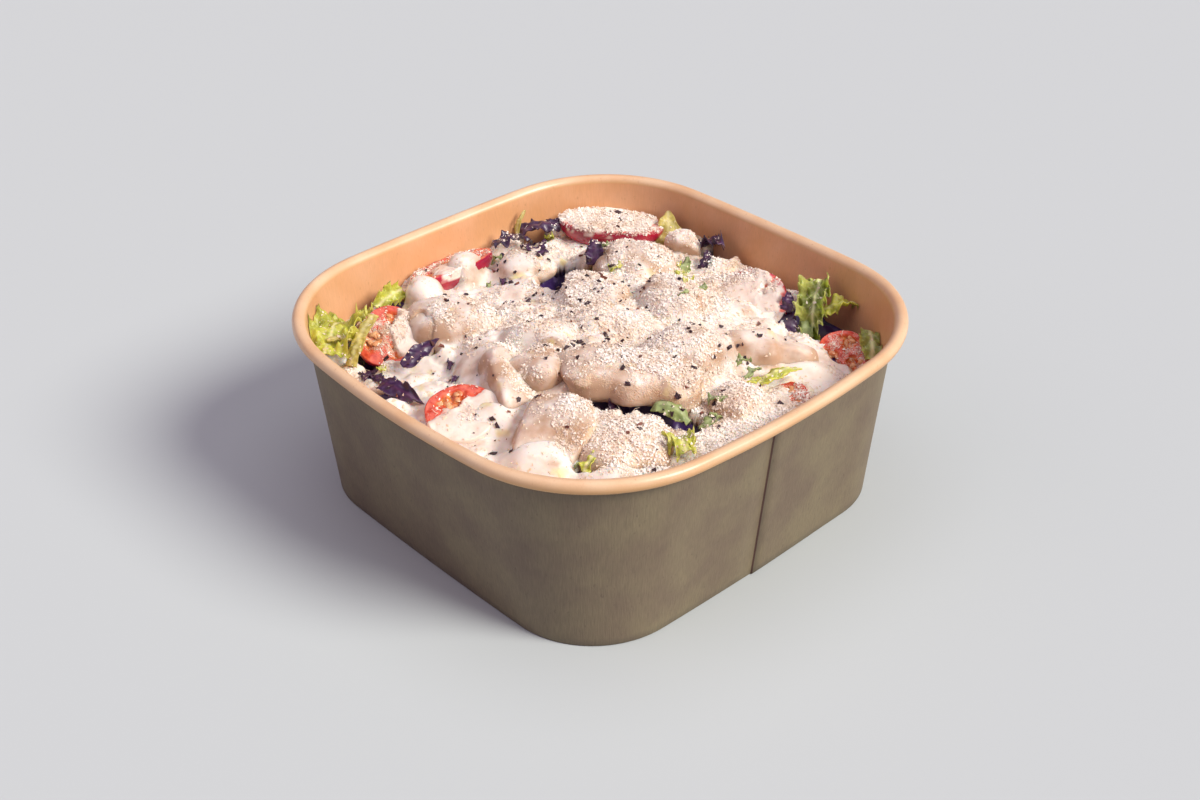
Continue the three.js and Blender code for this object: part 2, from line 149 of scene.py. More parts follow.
def seam_stations(z):
    """Points and normals close to the lap: both sides of its outer edge and of its inner one."""
    seam = mix(SEAM_FOOT_Y, SEAM_MOUTH_Y, z / ROLL_Z)
    steps = [-SEAM_EDGE, 0, SEAM_EDGE, LAP_WIDTH / 2, LAP_WIDTH - SEAM_EDGE, LAP_WIDTH]
    ys = seam + np.array(steps)
    half, _, side_radius = sides_at(z)
    angles = np.arcsin(ys / side_radius)
    points = np.stack([half - side_radius + side_radius * np.cos(angles), ys], 1)
    return points, np.stack([np.cos(angles), np.sin(angles)], 1)


def rim_lift(x, y, z):
    """How much higher the rim's wavy line is here. It dies out towards the foot."""
    return -RIM_DIP * np.cos(4 * np.arctan2(y, x)) * (z / wall_high[2]) ** 3


def wall_line(z, offset, face):
    """One line round the wall at height z, offset from its outer face, with the lap's steps in it."""
    points, normals = outline(z)
    lap_points, lap_normals = seam_stations(z)
    clear = (points[:, 0] < 0) | (np.abs(points[:, 1]) > LAP_WIDTH)
    points = np.concatenate([lap_points, points[clear]])
    normals = np.concatenate([lap_normals, normals[clear]])
    seam = lap_points[1, 1]
    on_seam_side = points[:, 0] > 0
    fade = np.clip(1 - (points[:, 1] - seam) / LAP_FADE, 0, 1) * on_seam_side
    starts = {"outer": seam + SEAM_EDGE / 2, "inner": seam + LAP_WIDTH - SEAM_EDGE / 2}
    past_edge = points[:, 1] > starts.get(face, wall_high[1])
    in_groove = (np.abs(points[:, 1] - seam) < SEAM_EDGE / 2) & on_seam_side & (face == "outer")
    xy = points + normals * (offset + BOARD * fade * past_edge - SEAM_GROOVE * in_groove)[:, None]
    return np.column_stack([xy, z + rim_lift(xy[:, 0], xy[:, 1], z)])


def wall_section():
    """The board's closed section: height, offset from the outer face, face, and the finish that shows."""
    join = math.pi + math.acos(ROLL_OFFSET / ROLL_RADIUS)
    join_z = ROLL_Z + ROLL_RADIUS * math.sin(join)
    section = [(z, 0, "outer", PLAIN) for z in np.linspace(EDGE, join_z, 22)]
    for angle in np.linspace(join, 3 * math.pi, 30)[1:-1]:
        round_z = ROLL_Z + ROLL_RADIUS * math.sin(angle)
        section.append((round_z, ROLL_OFFSET + ROLL_RADIUS * math.cos(angle), "roll", ROLLED))
    section += [(z, -BOARD, "inner", LINED) for z in np.linspace(ROLL_Z, HEM_HEIGHT, 20)]
    inside = -BOARD - HEM_GAP
    under = inside - BOARD
    slot = [(BOARD, -BOARD), (BOARD, inside), (HEM_HEIGHT, inside)]
    fold = [(HEM_HEIGHT, under), (EDGE, under), (0, under + EDGE), (0, -EDGE)]
    section += [(z, offset, "hem", LINED) for z, offset in slot]
    return section + [(z, offset, "hem", PLAIN) for z, offset in fold]


def ring_faces(rings, count, closed=False):
    """Quads between rings of count points each, as an array of corner numbers."""
    i = np.arange(rings if closed else rings - 1)[:, None]
    j = np.arange(count)[None, :]
    after, beside = (i + 1) % rings, (j + 1) % count
    corners = [i * count + j, i * count + beside, after * count + beside, after * count + j]
    return np.stack(corners, -1).reshape(-1, 4)


def make_piece(name, points, faces, materials, slot, replaced=(), face_material=None, marks=None,
               smooth=True):
    """A mesh piece on the object's one body. faces is an array, or a list of arrays, of corner numbers.
    marks are named values for each point, which the materials read."""
    mesh = bpy.data.meshes.new(name)
    blocks = [np.asarray(f, np.int32) for f in (faces if isinstance(faces, list) else [faces]) if len(f)]
    sizes = np.concatenate([np.full(len(f), f.shape[1], np.int32) for f in blocks])
    mesh.vertices.add(len(points))
    mesh.vertices.foreach_set("co", (np.asarray(points, float) * METRES).astype(np.float32).ravel())
    mesh.loops.add(int(sizes.sum()))
    mesh.loops.foreach_set("vertex_index", np.concatenate([f.ravel() for f in blocks]))
    mesh.polygons.add(len(sizes))
    mesh.polygons.foreach_set("loop_start", np.concatenate([[0], np.cumsum(sizes)[:-1]]).astype(np.int32))
    mesh.polygons.foreach_set("use_smooth", np.full(len(sizes), smooth))
    for material in materials:
        mesh.materials.append(material)
    if face_material is not None:
        mesh.polygons.foreach_set("material_index", np.asarray(face_material, np.int32))
    for label, values in (marks or {}).items():
        layer = mesh.attributes.new(label, "FLOAT", "POINT")
        layer.data.foreach_set("value", np.asarray(values, np.float32))
    mesh.update(calc_edges=True)
    mesh.validate()
    piece = bpy.data.objects.new(name, mesh)
    bpy.context.scene.collection.objects.link(piece)
    if slot:
        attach(piece, "root")
        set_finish(piece, slot)
    if replaced:
        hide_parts(*replaced)
    return piece


def colour(code):
    """A linear colour from its hexadecimal sRGB code."""
    srgb = [int(code[i : i + 2], 16) / 255 for i in (0, 2, 4)]
    return tuple(c / 12.92 if c < 0.04045 else ((c + 0.055) / 1.055) ** 2.4 for c in srgb) + (1.0,)


def add_node(tree, kind, values=None, links=None, **settings):
    """Adds a shader node. settings are its properties, values and links go into its sockets."""
    made = tree.nodes.new("ShaderNode" + kind)
    for key, value in settings.items():
        setattr(made, key, value)
    for key, value in (values or {}).items():
        made.inputs[key].default_value = value
    for key, output in (links or {}).items():
        tree.links.new(output, made.inputs[key])
    return made


def noise(tree, place, size, detail, stretch=(1, 1, 1)):
    """Noise whose patches are about size millimetres wide. Gives values round 0.5."""
    scale = tuple(1 / (size * METRES * s) for s in stretch)
    mapped = add_node(tree, "Mapping", {"Scale": scale}, {"Vector": place}).outputs[0]
    return add_node(tree, "TexNoise", {"Scale": 1.0, "Detail": detail}, {"Vector": mapped}).outputs[0]


def mark(tree, label):
    """A value that the mesh carries under this name."""
    return add_node(tree, "Attribute", attribute_name=label).outputs["Fac"]


def ramp(tree, value, low, high, to_low=0.0, to_high=1.0):
    """A value spread from the range low to high onto the second range, and clamped to it."""
    limits = {"From Min": low, "From Max": high, "To Min": to_low, "To Max": to_high}
    return add_node(tree, "MapRange", limits, {"Value": value}).outputs[0]


def calc(tree, operation, a, b):
    """A sum, product or the like of two values, each a socket or a number."""
    made = add_node(tree, "Math", operation=operation)
    for i, value in enumerate((a, b)):
        if isinstance(value, (int, float)):
            made.inputs[i].default_value = value
        else:
            tree.links.new(value, made.inputs[i])
    return made.outputs[0]


def blend(tree, share, a, b):
    """Colour a turned into colour b by share. Each is a socket, a colour or, for share, a number."""
    made = add_node(tree, "Mix", data_type="RGBA")
    for socket, value in ((made.inputs[0], share), (made.inputs[6], a), (made.inputs[7], b)):
        if isinstance(value, (float, tuple)):
            socket.default_value = value
        else:
            tree.links.new(value, socket)
    return made.outputs[2]


def new_effect(name, inputs, outputs):
    """An empty shader node group with named sockets, with its input and output nodes."""
    group = bpy.data.node_groups.new(name, "ShaderNodeTree")
    for label, default in inputs.items():
        kind = "NodeSocketColor" if isinstance(default, tuple) else "NodeSocketFloat"
        group.interface.new_socket(label, in_out="INPUT", socket_type=kind).default_value = default
    for label, kind in outputs.items():
        group.interface.new_socket(label, in_out="OUTPUT", socket_type="NodeSocket" + kind)
    return group, group.nodes.new("NodeGroupInput").outputs, group.nodes.new("NodeGroupOutput").inputs


def place_effect(tree, group, values=None, links=None):
    """Places a shader node group and gives its outputs."""
    made = tree.nodes.new("ShaderNodeGroup")
    made.node_tree = group
    for key, value in (values or {}).items():
        made.inputs[key].default_value = value
    for key, output in (links or {}).items():
        tree.links.new(output, made.inputs[key])
    return made.outputs


def new_material(name, **constants):
    """A material and its node tree and Principled BSDF. constants are set on the shader's own sockets."""
    material = bpy.data.materials.new(name)
    material.use_nodes = True
    bsdf = material.node_tree.nodes["Principled BSDF"]
    for key, value in constants.items():
        bsdf.inputs[key.replace("_", " ")].default_value = value
    return material, material.node_tree, bsdf


def connect(tree, bsdf, base, roughness=None, height=None, depth=0.2, strength=0.6):
    """Links the colour, the roughness and a bump of depth millimetres to the shader."""
    tree.links.new(base, bsdf.inputs["Base Color"])
    if roughness is not None:
        tree.links.new(roughness, bsdf.inputs["Roughness"])
    if height is not None:
        settings = {"Strength": strength, "Distance": depth * METRES}
        relief = add_node(tree, "Bump", settings, {"Height": height})
        tree.links.new(relief.outputs[0], bsdf.inputs["Normal"])


def kraft_fibre_effect():
    """Pressed fibres of kraft board: upright streaks, soft clouds, and dark flecks."""
    inputs = {"Board": colour("a08f70"), "Cloud": colour("8d7d60"), "Fleck": colour("5d4d3c"), "Streaks": 0.5}
    tree, given, result = new_effect("kraft_fibres", inputs, {"Color": "Color", "Height": "Float"})
    place = add_node(tree, "TexCoord").outputs["Object"]
    streak = noise(tree, place, 0.4, 4.0, stretch=(1, 1, 16))
    cloud = noise(tree, place, 16, 5.0)
    grit = noise(tree, place, 1.1, 6.0, stretch=(1, 1, 2))
    board = blend(tree, ramp(tree, cloud, 0.35, 0.65), given["Board"], given["Cloud"])
    lines = calc(tree, "MULTIPLY", ramp(tree, streak, 0.3, 0.7, -0.2, 0.2), given["Streaks"])
    value = calc(tree, "ADD", lines, 1.0)
    streaked = add_node(tree, "HueSaturation", links={"Color": board, "Value": value}).outputs[0]
    flecked = blend(tree, ramp(tree, grit, 0.36, 0.24, 0.0, 0.5), streaked, given["Fleck"])
    tree.links.new(flecked, result["Color"])
    tree.links.new(calc(tree, "ADD", streak, grit), result["Height"])
    return tree


KRAFT_FIBRES = kraft_fibre_effect()


def kraft_board(name, board, cloud, fleck, streaks, relief, shade=None, **constants):
    """Kraft board with one of its finishes. Where a shade colour is given, the mark under blends it in as
    painted shade.
    """
    material, tree, bsdf = new_material(name, **constants)
    values = {"Board": colour(board), "Cloud": colour(cloud), "Fleck": colour(fleck), "Streaks": streaks}
    fibres = place_effect(tree, KRAFT_FIBRES, values)
    skin = fibres["Color"]
    if shade:
        skin = blend(tree, mark(tree, "under"), skin, colour(shade))
    connect(tree, bsdf, skin, height=fibres["Height"], strength=relief)
    return material


# Painted light and shade on the board: the outside board is coloured darker than the kraft, as painted shade
# on the outer walls, and the inside board lighter, as painted bounce light inside the bowl.
board_outside = kraft_board("board_outside", "7f735a", "736452", "52443a", 0.55, 0.35, Roughness=0.62)
board_inside = kraft_board("board_inside", "e4b085", "dca473", "ba8354", 0.2, 0.15, Roughness=0.42,
                           Coat_Weight=0.25, Coat_Roughness=0.28)
# The rim's board is a paler copy of the inside board, a painted highlight on the roll; its shade colour
# d9a468 is painted shade on the roll's lower flank.
board_rim = kraft_board("board_rim", "e8c8a4", "e0b68c", "be865e", 0.1, 0.1, "d9a468", Roughness=0.38,
                        Coat_Weight=0.35, Coat_Roughness=0.3)
board_edge = kraft_board("board_edge", "5a4038", "4c352f", "3a2825", 0.2, 0.2, Roughness=0.8)

section = wall_section()
rings = [wall_line(z, offset, face) for z, offset, face, _ in section]
around = len(rings[0])
finish = np.array([max(a[3], b[3]) for a, b in zip(section, section[1:] + section[:1])])
finish = np.repeat(finish, around)
columns = np.tile(np.arange(around), len(rings))
finish[(columns < 2) & (finish == PLAIN)] = CUT
wall_points = np.concatenate(rings)
# Painted shade on the rolled rim: the mark under grows from the top of the roll down its lower flank, where
# the rim board darkens to its shade colour.
below = ROLL_Z + rim_lift(*wall_points.T) - wall_points[:, 2]
under = np.clip(1.2 * below / ROLL_RADIUS + 0.7, 0, 1)
make_piece("bowl_wall_board", wall_points, ring_faces(len(rings), around, closed=True),
           [board_outside, board_inside, board_edge, board_rim], "kraft_board", ["bowl_wall"], finish,
           marks={"under": under})

# ---------------------------------------------------------------------------------------------------
# The base. It is a tray pressed from the same board, with its edge turned down into a skirt, which the
# wall's folded foot grips. It sits a few millimetres above the table.
# ---------------------------------------------------------------------------------------------------

base_low, base_high = extent("bowl_base")
BASE_OFFSET = -BOARD - 0.3  # the skirt stands in the middle of the wall's folded foot
TRAY_SHARES = [0.995, 0.97, 0.85, 0.6, 0.3, 0.02]  # rings on the tray, as shares of its width


def level_ring(z, offset, share=1.0):
    """A level line at height z, offset from the wall's outer face and drawn in to a share of its width."""
    points, normals = outline(z)
    return np.column_stack([(points + normals * offset) * share, np.full(len(points), z)])


def end_caps(rings, count):
    """The faces that close the first and the last of the rings."""
    return [np.arange(count)[None, ::-1], (rings - 1) * count + np.arange(count)[None, :]]


tray_top, tray_under = base_high[2], base_high[2] - BOARD
base_rings = [level_ring(tray_under, BASE_OFFSET - BOARD, s) for s in reversed(TRAY_SHARES)]
base_rings += [level_ring(z, BASE_OFFSET - BOARD) for z in (tray_under - EDGE, base_low[2])]
base_rings += [level_ring(z, BASE_OFFSET) for z in (base_low[2], tray_top - EDGE)]
base_rings += [level_ring(tray_top, BASE_OFFSET, s) for s in TRAY_SHARES]
board_base = kraft_board("board_base", "c9a077", "bd9369", "8f6a4a", 0.15, 0.3, Roughness=0.6)
base_size = len(base_rings), len(base_rings[0])
base_faces = [ring_faces(*base_size)] + end_caps(*base_size)
make_piece("bowl_base_board", np.concatenate(base_rings), base_faces, [board_base], "base_board",
           ["bowl_base"])

# ---------------------------------------------------------------------------------------------------
# The bottom of the salad: mixed leaves packed down in the bowl, up to its wall on every side. Little of
# it shows, in the gaps between the dressed pieces and along the wall.
# ---------------------------------------------------------------------------------------------------

SALAD_LEVEL = 49  # where the salad meets the wall
DOME_RISE, DOME_MIDDLE, DOME_SPREAD = 13.5, (4, -4), 33
HOLLOW_DEPTH, HOLLOW_MIDDLE, HOLLOW_SPREAD = 6, (64, 62), 19  # the emptier corner


def hill(x, y, middle_xy, spread):
    """A soft round hill, 1 high, and at spread from its middle still 0.6."""
    return np.exp(-((x - middle_xy[0]) ** 2 + (y - middle_xy[1]) ** 2) / (2 * spread**2))


def heap_height(x, y):
    """Height of the dressed salad's top without its separate pieces."""
    dome = DOME_RISE * hill(x, y, DOME_MIDDLE, DOME_SPREAD)
    hollow = HOLLOW_DEPTH * hill(x, y, HOLLOW_MIDDLE, HOLLOW_SPREAD)
    humps = 1.3 * np.sin(x / 7.5 + 1.1) * np.cos(y / 8.5 - 0.4)
    ripples = 0.8 * np.sin(x / 4.1 - y / 5.3)
    return SALAD_LEVEL + dome - hollow + humps + ripples


WAVES = 24  # added up in any unevenness


def uneven(points, size, seed):
    """Smooth random unevenness about size millimetres wide, mostly between -1 and 1."""
    draw = np.random.default_rng(seed)
    ways = draw.normal(size=(points.shape[1], WAVES))
    ways *= 2 * math.pi / size * draw.uniform(0.6, 1.3, WAVES) / np.linalg.norm(ways, axis=0)
    return np.sin(points @ ways + draw.uniform(0, 2 * math.pi, WAVES)).sum(1) * math.sqrt(0.8 / WAVES)


def middle(node_name):
    """The middle of a CAD node's box."""
    low, high = extent(node_name)
    return (low + high) / 2


# Openings between the dressed pieces, where the leaves below show: node, offset from its middle, half
# sizes, turn in degrees, and how far the leaves lie below the dressing there.
GAPS = [
    ("chicken_top_strip", (1, -8), (16, 5), 38, 9),
    ("chicken_top_strip", (13, -1), (6, 4), 38, 6),
    ("chicken_peak", (-24, 7), (8, 9), 20, 14),
    ("chicken_peak", (-29, 14), (9, 9), 20, 16),
    ("chicken_peak", (-21, 21), (5, 6.5), 35, 9),
    ("lettuce_left", (7, 5), (9, 7), -45, 2),
    ("tomato_left_near", (2, -9), (8, 4), -40, 4),
    ("tomato_left_near", (7, 2), (8, 9), -40, 3),
    ("red_leaf_rim", (-3, -3), (8, 4), 10, 1),
    ("lettuce_left_frill", (-1, 2), (6, 8), 0, 4),
    ("red_leaf_far", (-2, 2), (6, 9), 5, 4),
    ("tomato_right_far", (-4, 22), (10, 5), 0, 5),
    ("lettuce_left_frill", (-9, -8), (8, 12), 0, 4),
    ("tomato_far_corner", (18, 13), (9, 6), 30, 6),
    ("red_leaf_far_wall", (2, 0), (8, 6), 0, 5),
    ("red_leaf_far_wall", (6, 6), (12, 5), 0, 5),
    ("lettuce_right", (4, -3), (17, 9), 5, 6),
    ("lettuce_right", (8, 7), (16, 7), -10, 6),
    ("tomato_right", (10, 6), (10, 9), 40, 5),
    ("lettuce_near_right", (-2, -2), (8, 4), 25, 4),
    ("chicken_near_right", (-1, -14), (4, 3), 40, 4),
    ("lettuce_tongue", (-6, -4), (7, 2.5), 60, 2),
    ("tomato_right", (0, -1), (6, 5.5), 40, 1),
]


def oval(x, y, centre, half, turn):
    """Distance from the middle of a turned oval, which is 1 on its edge."""
    angle = math.radians(turn)
    dx, dy = x - centre[0], y - centre[1]
    along = (dx * math.cos(angle) + dy * math.sin(angle)) / half[0]
    across = (dy * math.cos(angle) - dx * math.sin(angle)) / half[1]
    return np.hypot(along, across)


def gap_at(x, y):
    """How far x, y lies inside a gap's edge, roughly in millimetres, and how deep the gap is there."""
    ragged = 0.16 * uneven(np.column_stack([x, y]), 5.5, 31)
    inside, depth = np.full(x.shape, -3.0), np.zeros(x.shape)
    for node_name, offset, half, turn, deep in GAPS:
        away = oval(x, y, middle(node_name)[:2] + offset, half, turn)
        here = (1 - away + ragged) * min(half)
        inside = np.maximum(inside, here)
        depth = np.maximum(depth, deep * np.clip(here / 2.5, 0, 1))
    return inside, depth


CORE_DROP = 3.2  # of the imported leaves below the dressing's top
CORE_RINGS = 64
WALL_TOUCH = -BOARD - 0.02  # from the wall's outer face to what touches it inside


def inner_wall_radius(x, y, z):
    """Distance from the bowl's middle to its inner face in the direction of x, y, at height z."""
    radii = []
    for level in (0, ROLL_Z):
        points, normals = outline(level)
        inner = points + normals * WALL_TOUCH
        angles = np.arctan2(inner[:, 1], inner[:, 0])
        order = np.argsort(angles)
        lengths = np.hypot(inner[:, 0], inner[:, 1])[order]
        radii.append(np.interp(np.arctan2(y, x), angles[order], lengths, period=2 * math.pi))
    return mix(radii[0], radii[1], z / ROLL_Z)


def keep_in_bowl(points, clear=0.3):
    """Presses what would pass through the wall back against its inner face, or as near it as clear."""
    limit = inner_wall_radius(points[:, 0], points[:, 1], points[:, 2]) - clear
    share = np.minimum(limit / np.hypot(points[:, 0], points[:, 1]), 1)
    return points * np.column_stack([share, share, np.ones(len(points))])


def core_height(x, y):
    """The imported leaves' top, with their crumpled folds."""
    flat = np.column_stack([x, y])
    folds = 1.1 * np.abs(uneven(flat, 9, 41)) + 0.5 * np.abs(uneven(flat, 4, 42))
    return heap_height(x, y) - CORE_DROP - gap_at(x, y)[1] + folds


# Rings from the tray up the wall, then from the wall to the middle over the top, and below to close it.
CORE_SIDE = (tray_top + 0.02, 20, 35, SALAD_LEVEL - 8)
core_rings = [level_ring(z, WALL_TOUCH) for z in CORE_SIDE]
edge_line = level_ring(SALAD_LEVEL - 4, WALL_TOUCH)[:, :2]
for i in range(CORE_RINGS):
    ring = edge_line * (1 - i / CORE_RINGS)
    level = np.maximum(core_height(ring[:, 0], ring[:, 1]), SALAD_LEVEL - 7.5 - 3 * i)
    core_rings.append(keep_in_bowl(np.column_stack([ring, level]), 0))
core_rings[0:0] = [core_rings[0] * (s, s, 1) for s in (0.02, 0.5)]
core_points = np.concatenate(core_rings)
core_size = len(core_rings), len(edge_line)
core_faces = [ring_faces(*core_size)] + end_caps(*core_size)


def leaf_skin(name, young, old, vein_colour, edge_colour, veins=1.0, **constants):
    """A salad leaf's skin. It reads the marks vein and edge, and turns from young to old in patches."""
    material, tree, bsdf = new_material(name, **constants)
    place = add_node(tree, "TexCoord").outputs["Object"]
    patches = ramp(tree, noise(tree, place, 7, 3.0), 0.36, 0.66)
    blade = blend(tree, patches, colour(young), colour(old))
    cells = noise(tree, place, 0.9, 4.0)
    value = ramp(tree, cells, 0.3, 0.7, 0.8, 1.2)
    mottled = add_node(tree, "HueSaturation", links={"Color": blade, "Value": value}).outputs[0]
    vein = calc(tree, "MULTIPLY", mark(tree, "vein"), veins)
    veined = blend(tree, vein, mottled, colour(vein_colour))
    edged = blend(tree, mark(tree, "edge"), veined, colour(edge_colour))
    height = calc(tree, "SUBTRACT", cells, calc(tree, "MULTIPLY", vein, 0.8))
    connect(tree, bsdf, edged, ramp(tree, cells, 0.3, 0.7, 0.3, 0.5), height, 0.25, 0.5)
    return material


GLOW = dict(Subsurface_Weight=0.35, Subsurface_Radius=(0.002, 0.003, 0.0006), Subsurface_Scale=0.7)
leaf_green = leaf_skin("leaf_green", "c3c648", "8f9a38", "e2e2a0", "d0d25c", **GLOW)
leaf_mid_green = leaf_skin("leaf_mid_green", "aab55a", "6e7c3e", "dce0a8", "b8c266", **GLOW)
leaf_dark_green = leaf_skin("leaf_dark_green", "98a868", "60744a", "b4be90", "a0ae70", 0.6)
leaf_red = leaf_skin("leaf_red", "45254f", "2b1838", "66304e", "3e1e3c", 0.35, Coat_Weight=0.35,
                     Coat_Roughness=0.3)
# The packed leaves' deep blue-purple is partly dark red leaf and partly painted shade, the shade deep in the
# gaps.
leaf_deep_and_shade = leaf_skin("leaf_deep_and_shade", "482a72", "32244c", "5a4470", "3c2656", Coat_Weight=0.2,
                      Coat_Roughness=0.35)
core_marks = {"vein": np.clip(uneven(core_points, 6, 43) - 0.7, 0, 1), "edge": np.zeros(len(core_points))}
make_piece("packed_leaves", core_points, core_faces, [leaf_deep_and_shade], "green_leaf", marks=core_marks)

# ---------------------------------------------------------------------------------------------------
# Pieces of chicken and pasta under the dressing. Each is soft, rounded and of its own shape, and is
# coated with dressing and dusted with grated cheese.
# ---------------------------------------------------------------------------------------------------


def rotation(turn):
    """The matrix of a turn by yaw, pitch and roll in degrees, as the CAD pieces are turned."""
    (cy, cp, cr), (sy, sp, sr) = np.cos(np.radians(turn)), np.sin(np.radians(turn))
    yaw = np.array([[cy, -sy, 0], [sy, cy, 0], [0, 0, 1]])
    pitch = np.array([[cp, 0, sp], [0, 1, 0], [-sp, 0, cp]])
    roll = np.array([[1, 0, 0], [0, cr, -sr], [0, sr, cr]])
    return yaw @ pitch @ roll


def turned(points, turn):
    return points @ rotation(turn).T


# Cheese on the surface: node, offset from its middle, spread, and how much more or less than usual.
DUSTING = [
    ("chicken_near_right", (1, 3), 9, 1.2), ("pasta_near_right_wall", (6, 0), 13, 0.9),
    ("lettuce_rim_frill", (6, 6), 9, 0.9), ("pasta_top_right", (2, 4), 11, 0.7),
    ("tomato_right_far", (-10, -8), 9, 0.8), ("tomato_far_corner", (-2, 4), 14, 1.2),
    ("pasta_left_slope", (12, 8), 10, 0.7), ("chicken_near", (2, 6), 7, 0.9),
    ("chicken_top_strip", (-8, 12), 10, 0.8), ("chicken_top_strip", (2, 0), 8, 0.4),
    ("tomato_left_near", (3, 1), 8, 0.8), ("chicken_peak", (6, -6), 9, 0.6),
    ("pasta_right_mid", (0, 2), 8, 0.3), ("pasta_near_right_wall", (5, -2), 10, 0.9),
    ("pasta_far_slope", (8, 6), 12, 0.6), ("pasta_top_left", (2, -3), 8, 0.1),
    ("chicken_top_strip", (10, -10), 5, -0.3), ("chicken_right", (4, 0), 10, -1.2),
    ("pasta_left_wall_near", (0, 0), 8, -1.2), ("pasta_left_wall_far", (0, 0), 8, -1.2),
    ("tomato_near", (10, -8), 13, -1.2), ("red_leaf_rim", (10, 8), 12, -1.2),
    ("tomato_right_far", (2, -2), 7, -0.7), ("tomato_left_far", (0, 0), 9, 1.0),
    ("chicken_peak", (-6, 4), 8, 0.5), ("chicken_left_near", (-4, -8), 6, -0.9),
    ("chicken_left_near", (-2, 2), 7, 0.4), ("chicken_near", (4, -12), 9, -1.4),
    ("tomato_near", (-4, 1), 7, 1.4), ("red_leaf_blade", (0, 0), 8, -1.0),
    ("tomato_right", (-6, -12), 7, -0.8), ("tomato_right", (0, 3), 8, 0.3),
    ("chicken_peak", (12, 10), 5, -0.8), ("pasta_left_slope", (-12, -4), 8, -0.7),
    ("pasta_far_left", (2, -10), 7, -0.7),
]


def cheese_cover(points):
    """How thickly cheese lies at each point, from 0 to 1, before the slope is counted."""
    cover = 0.42 + 0.45 * uneven(points[:, :2], 13, 51) + 0.22 * uneven(points[:, :2], 5, 52)
    for node_name, offset, spread, amount in DUSTING:
        cover += amount * hill(points[:, 0], points[:, 1], middle(node_name)[:2] + offset, spread)
    return np.clip(cover, 0, 1)


def steepness(points, faces):
    """The upward part of each point's normal."""
    a, b, c = (points[faces[:, k]] for k in range(3))
    face_normals = np.cross(b - a, c - a)
    normals = np.zeros_like(points)
    for k in range(faces.shape[1]):
        np.add.at(normals, faces[:, k], face_normals)
    return normals[:, 2] / np.maximum(np.linalg.norm(normals, axis=1), 1e-9)


def dusted(points, faces):
    """The mark cheese, which falls off on steep and overhanging sides."""
    return cheese_cover(points) * np.clip((steepness(points, faces) + 0.15) / 0.5, 0, 1)


def beige_patches_effect():
    """Where oil has soaked the cheese and turned it beige, in patches about a centimetre wide."""
    tree, given, result = new_effect("beige_patches", {"Most": 0.9}, {"Mask": "Float"})
    place = add_node(tree, "TexCoord").outputs["Object"]
    broad = ramp(tree, noise(tree, place, 11, 4.0), 0.46, 0.66)
    tree.links.new(calc(tree, "MULTIPLY", broad, given["Most"]), result["Mask"])
    return tree


BEIGE_PATCHES = beige_patches_effect()


def grated_dust_effect():
    """A frost of fine cheese crumbs. Where Cover is high they touch, and where it is low they thin out."""
    inputs = {"Ground": colour("d8c0a8"), "Grain": colour("fff8ee"), "Cover": 0.5}
    outputs = {"Color": "Color", "Mask": "Float", "Height": "Float"}
    tree, given, result = new_effect("grated_dust", inputs, outputs)
    place = add_node(tree, "TexCoord").outputs["Object"]
    grains = noise(tree, place, 0.45, 2.0)
    clumps = noise(tree, place, 2.2, 3.0)
    level = calc(tree, "ADD", calc(tree, "MULTIPLY", grains, 0.6), calc(tree, "MULTIPLY", clumps, 0.5))
    need = ramp(tree, given["Cover"], 0.0, 1.0, 0.78, 0.38)
    mask = ramp(tree, calc(tree, "SUBTRACT", level, need), -0.04, 0.16)
    warm = ramp(tree, noise(tree, place, 1.6, 2.0), 0.45, 0.75)
    grain = blend(tree, calc(tree, "MULTIPLY", warm, 0.8), given["Grain"], colour("e6ccac"))
    sparse = ramp(tree, given["Cover"], 0.7, 1.0, 1.0, 0.3)
    soaked = calc(tree, "MULTIPLY", place_effect(tree, BEIGE_PATCHES)["Mask"], sparse)
    grain = blend(tree, soaked, grain, colour("c69c74"))
    tree.links.new(blend(tree, mask, given["Ground"], grain), result["Color"])
    tree.links.new(mask, result["Mask"])
    fluff = calc(tree, "ADD", calc(tree, "MULTIPLY", grains, 0.5), clumps)
    tree.links.new(calc(tree, "MULTIPLY", mask, fluff), result["Height"])
    return tree


GRATED_DUST = grated_dust_effect()


def dressed_skin():
    """Food under creamy dressing with cheese on it. The mark cheese says where the cheese lies, and the
    run-off mark says where the dressing has run off so that the tan food shows through; because that mark
    follows steepness, the darker steep sides are also painted shade."""
    material, tree, bsdf = new_material("dressed_food", Specular_IOR_Level=0.35, Subsurface_Weight=0.6,
                                        Subsurface_Scale=1.0, Subsurface_Radius=(0.0028, 0.0018, 0.0012))
    place = add_node(tree, "TexCoord").outputs["Object"]
    patches = ramp(tree, noise(tree, place, 6, 3.0), 0.3, 0.7, -0.3, 0.3)
    share = calc(tree, "ADD", mark(tree, "runoff_shade"), patches)
    # Partly painted shade: where the run-off mark is high, mostly on steep sides, the ground turns to the
    # darker tan of the food.
    ground = blend(tree, ramp(tree, share, 0.1, 0.9), colour("f5ebe1"), colour("c4a48a"))
    oily = ramp(tree, noise(tree, place, 9, 2.0), 0.62, 0.72, 0.0, 0.65)
    ground = blend(tree, oily, ground, colour("ecd98f"))
    specks = ramp(tree, noise(tree, place, 0.8, 1.0), 0.25, 0.2, 0.0, 0.6)
    ground = blend(tree, specks, ground, colour("5a4048"))
    grain = blend(tree, ramp(tree, share, 0.2, 0.8), colour("fffaf4"), colour("e8d0b6"))
    dusty = {"Ground": ground, "Grain": grain, "Cover": mark(tree, "cheese")}
    dust = place_effect(tree, GRATED_DUST, links=dusty)
    rough = ramp(tree, dust["Mask"], 0.0, 1.0, 0.45, 0.75)
    height = calc(tree, "ADD", dust["Height"], calc(tree, "MULTIPLY", noise(tree, place, 1.8, 2.0), 0.25))
    connect(tree, bsdf, dust["Color"], rough, height, 0.4, 0.6)
    return material


DRESSED = dressed_skin()


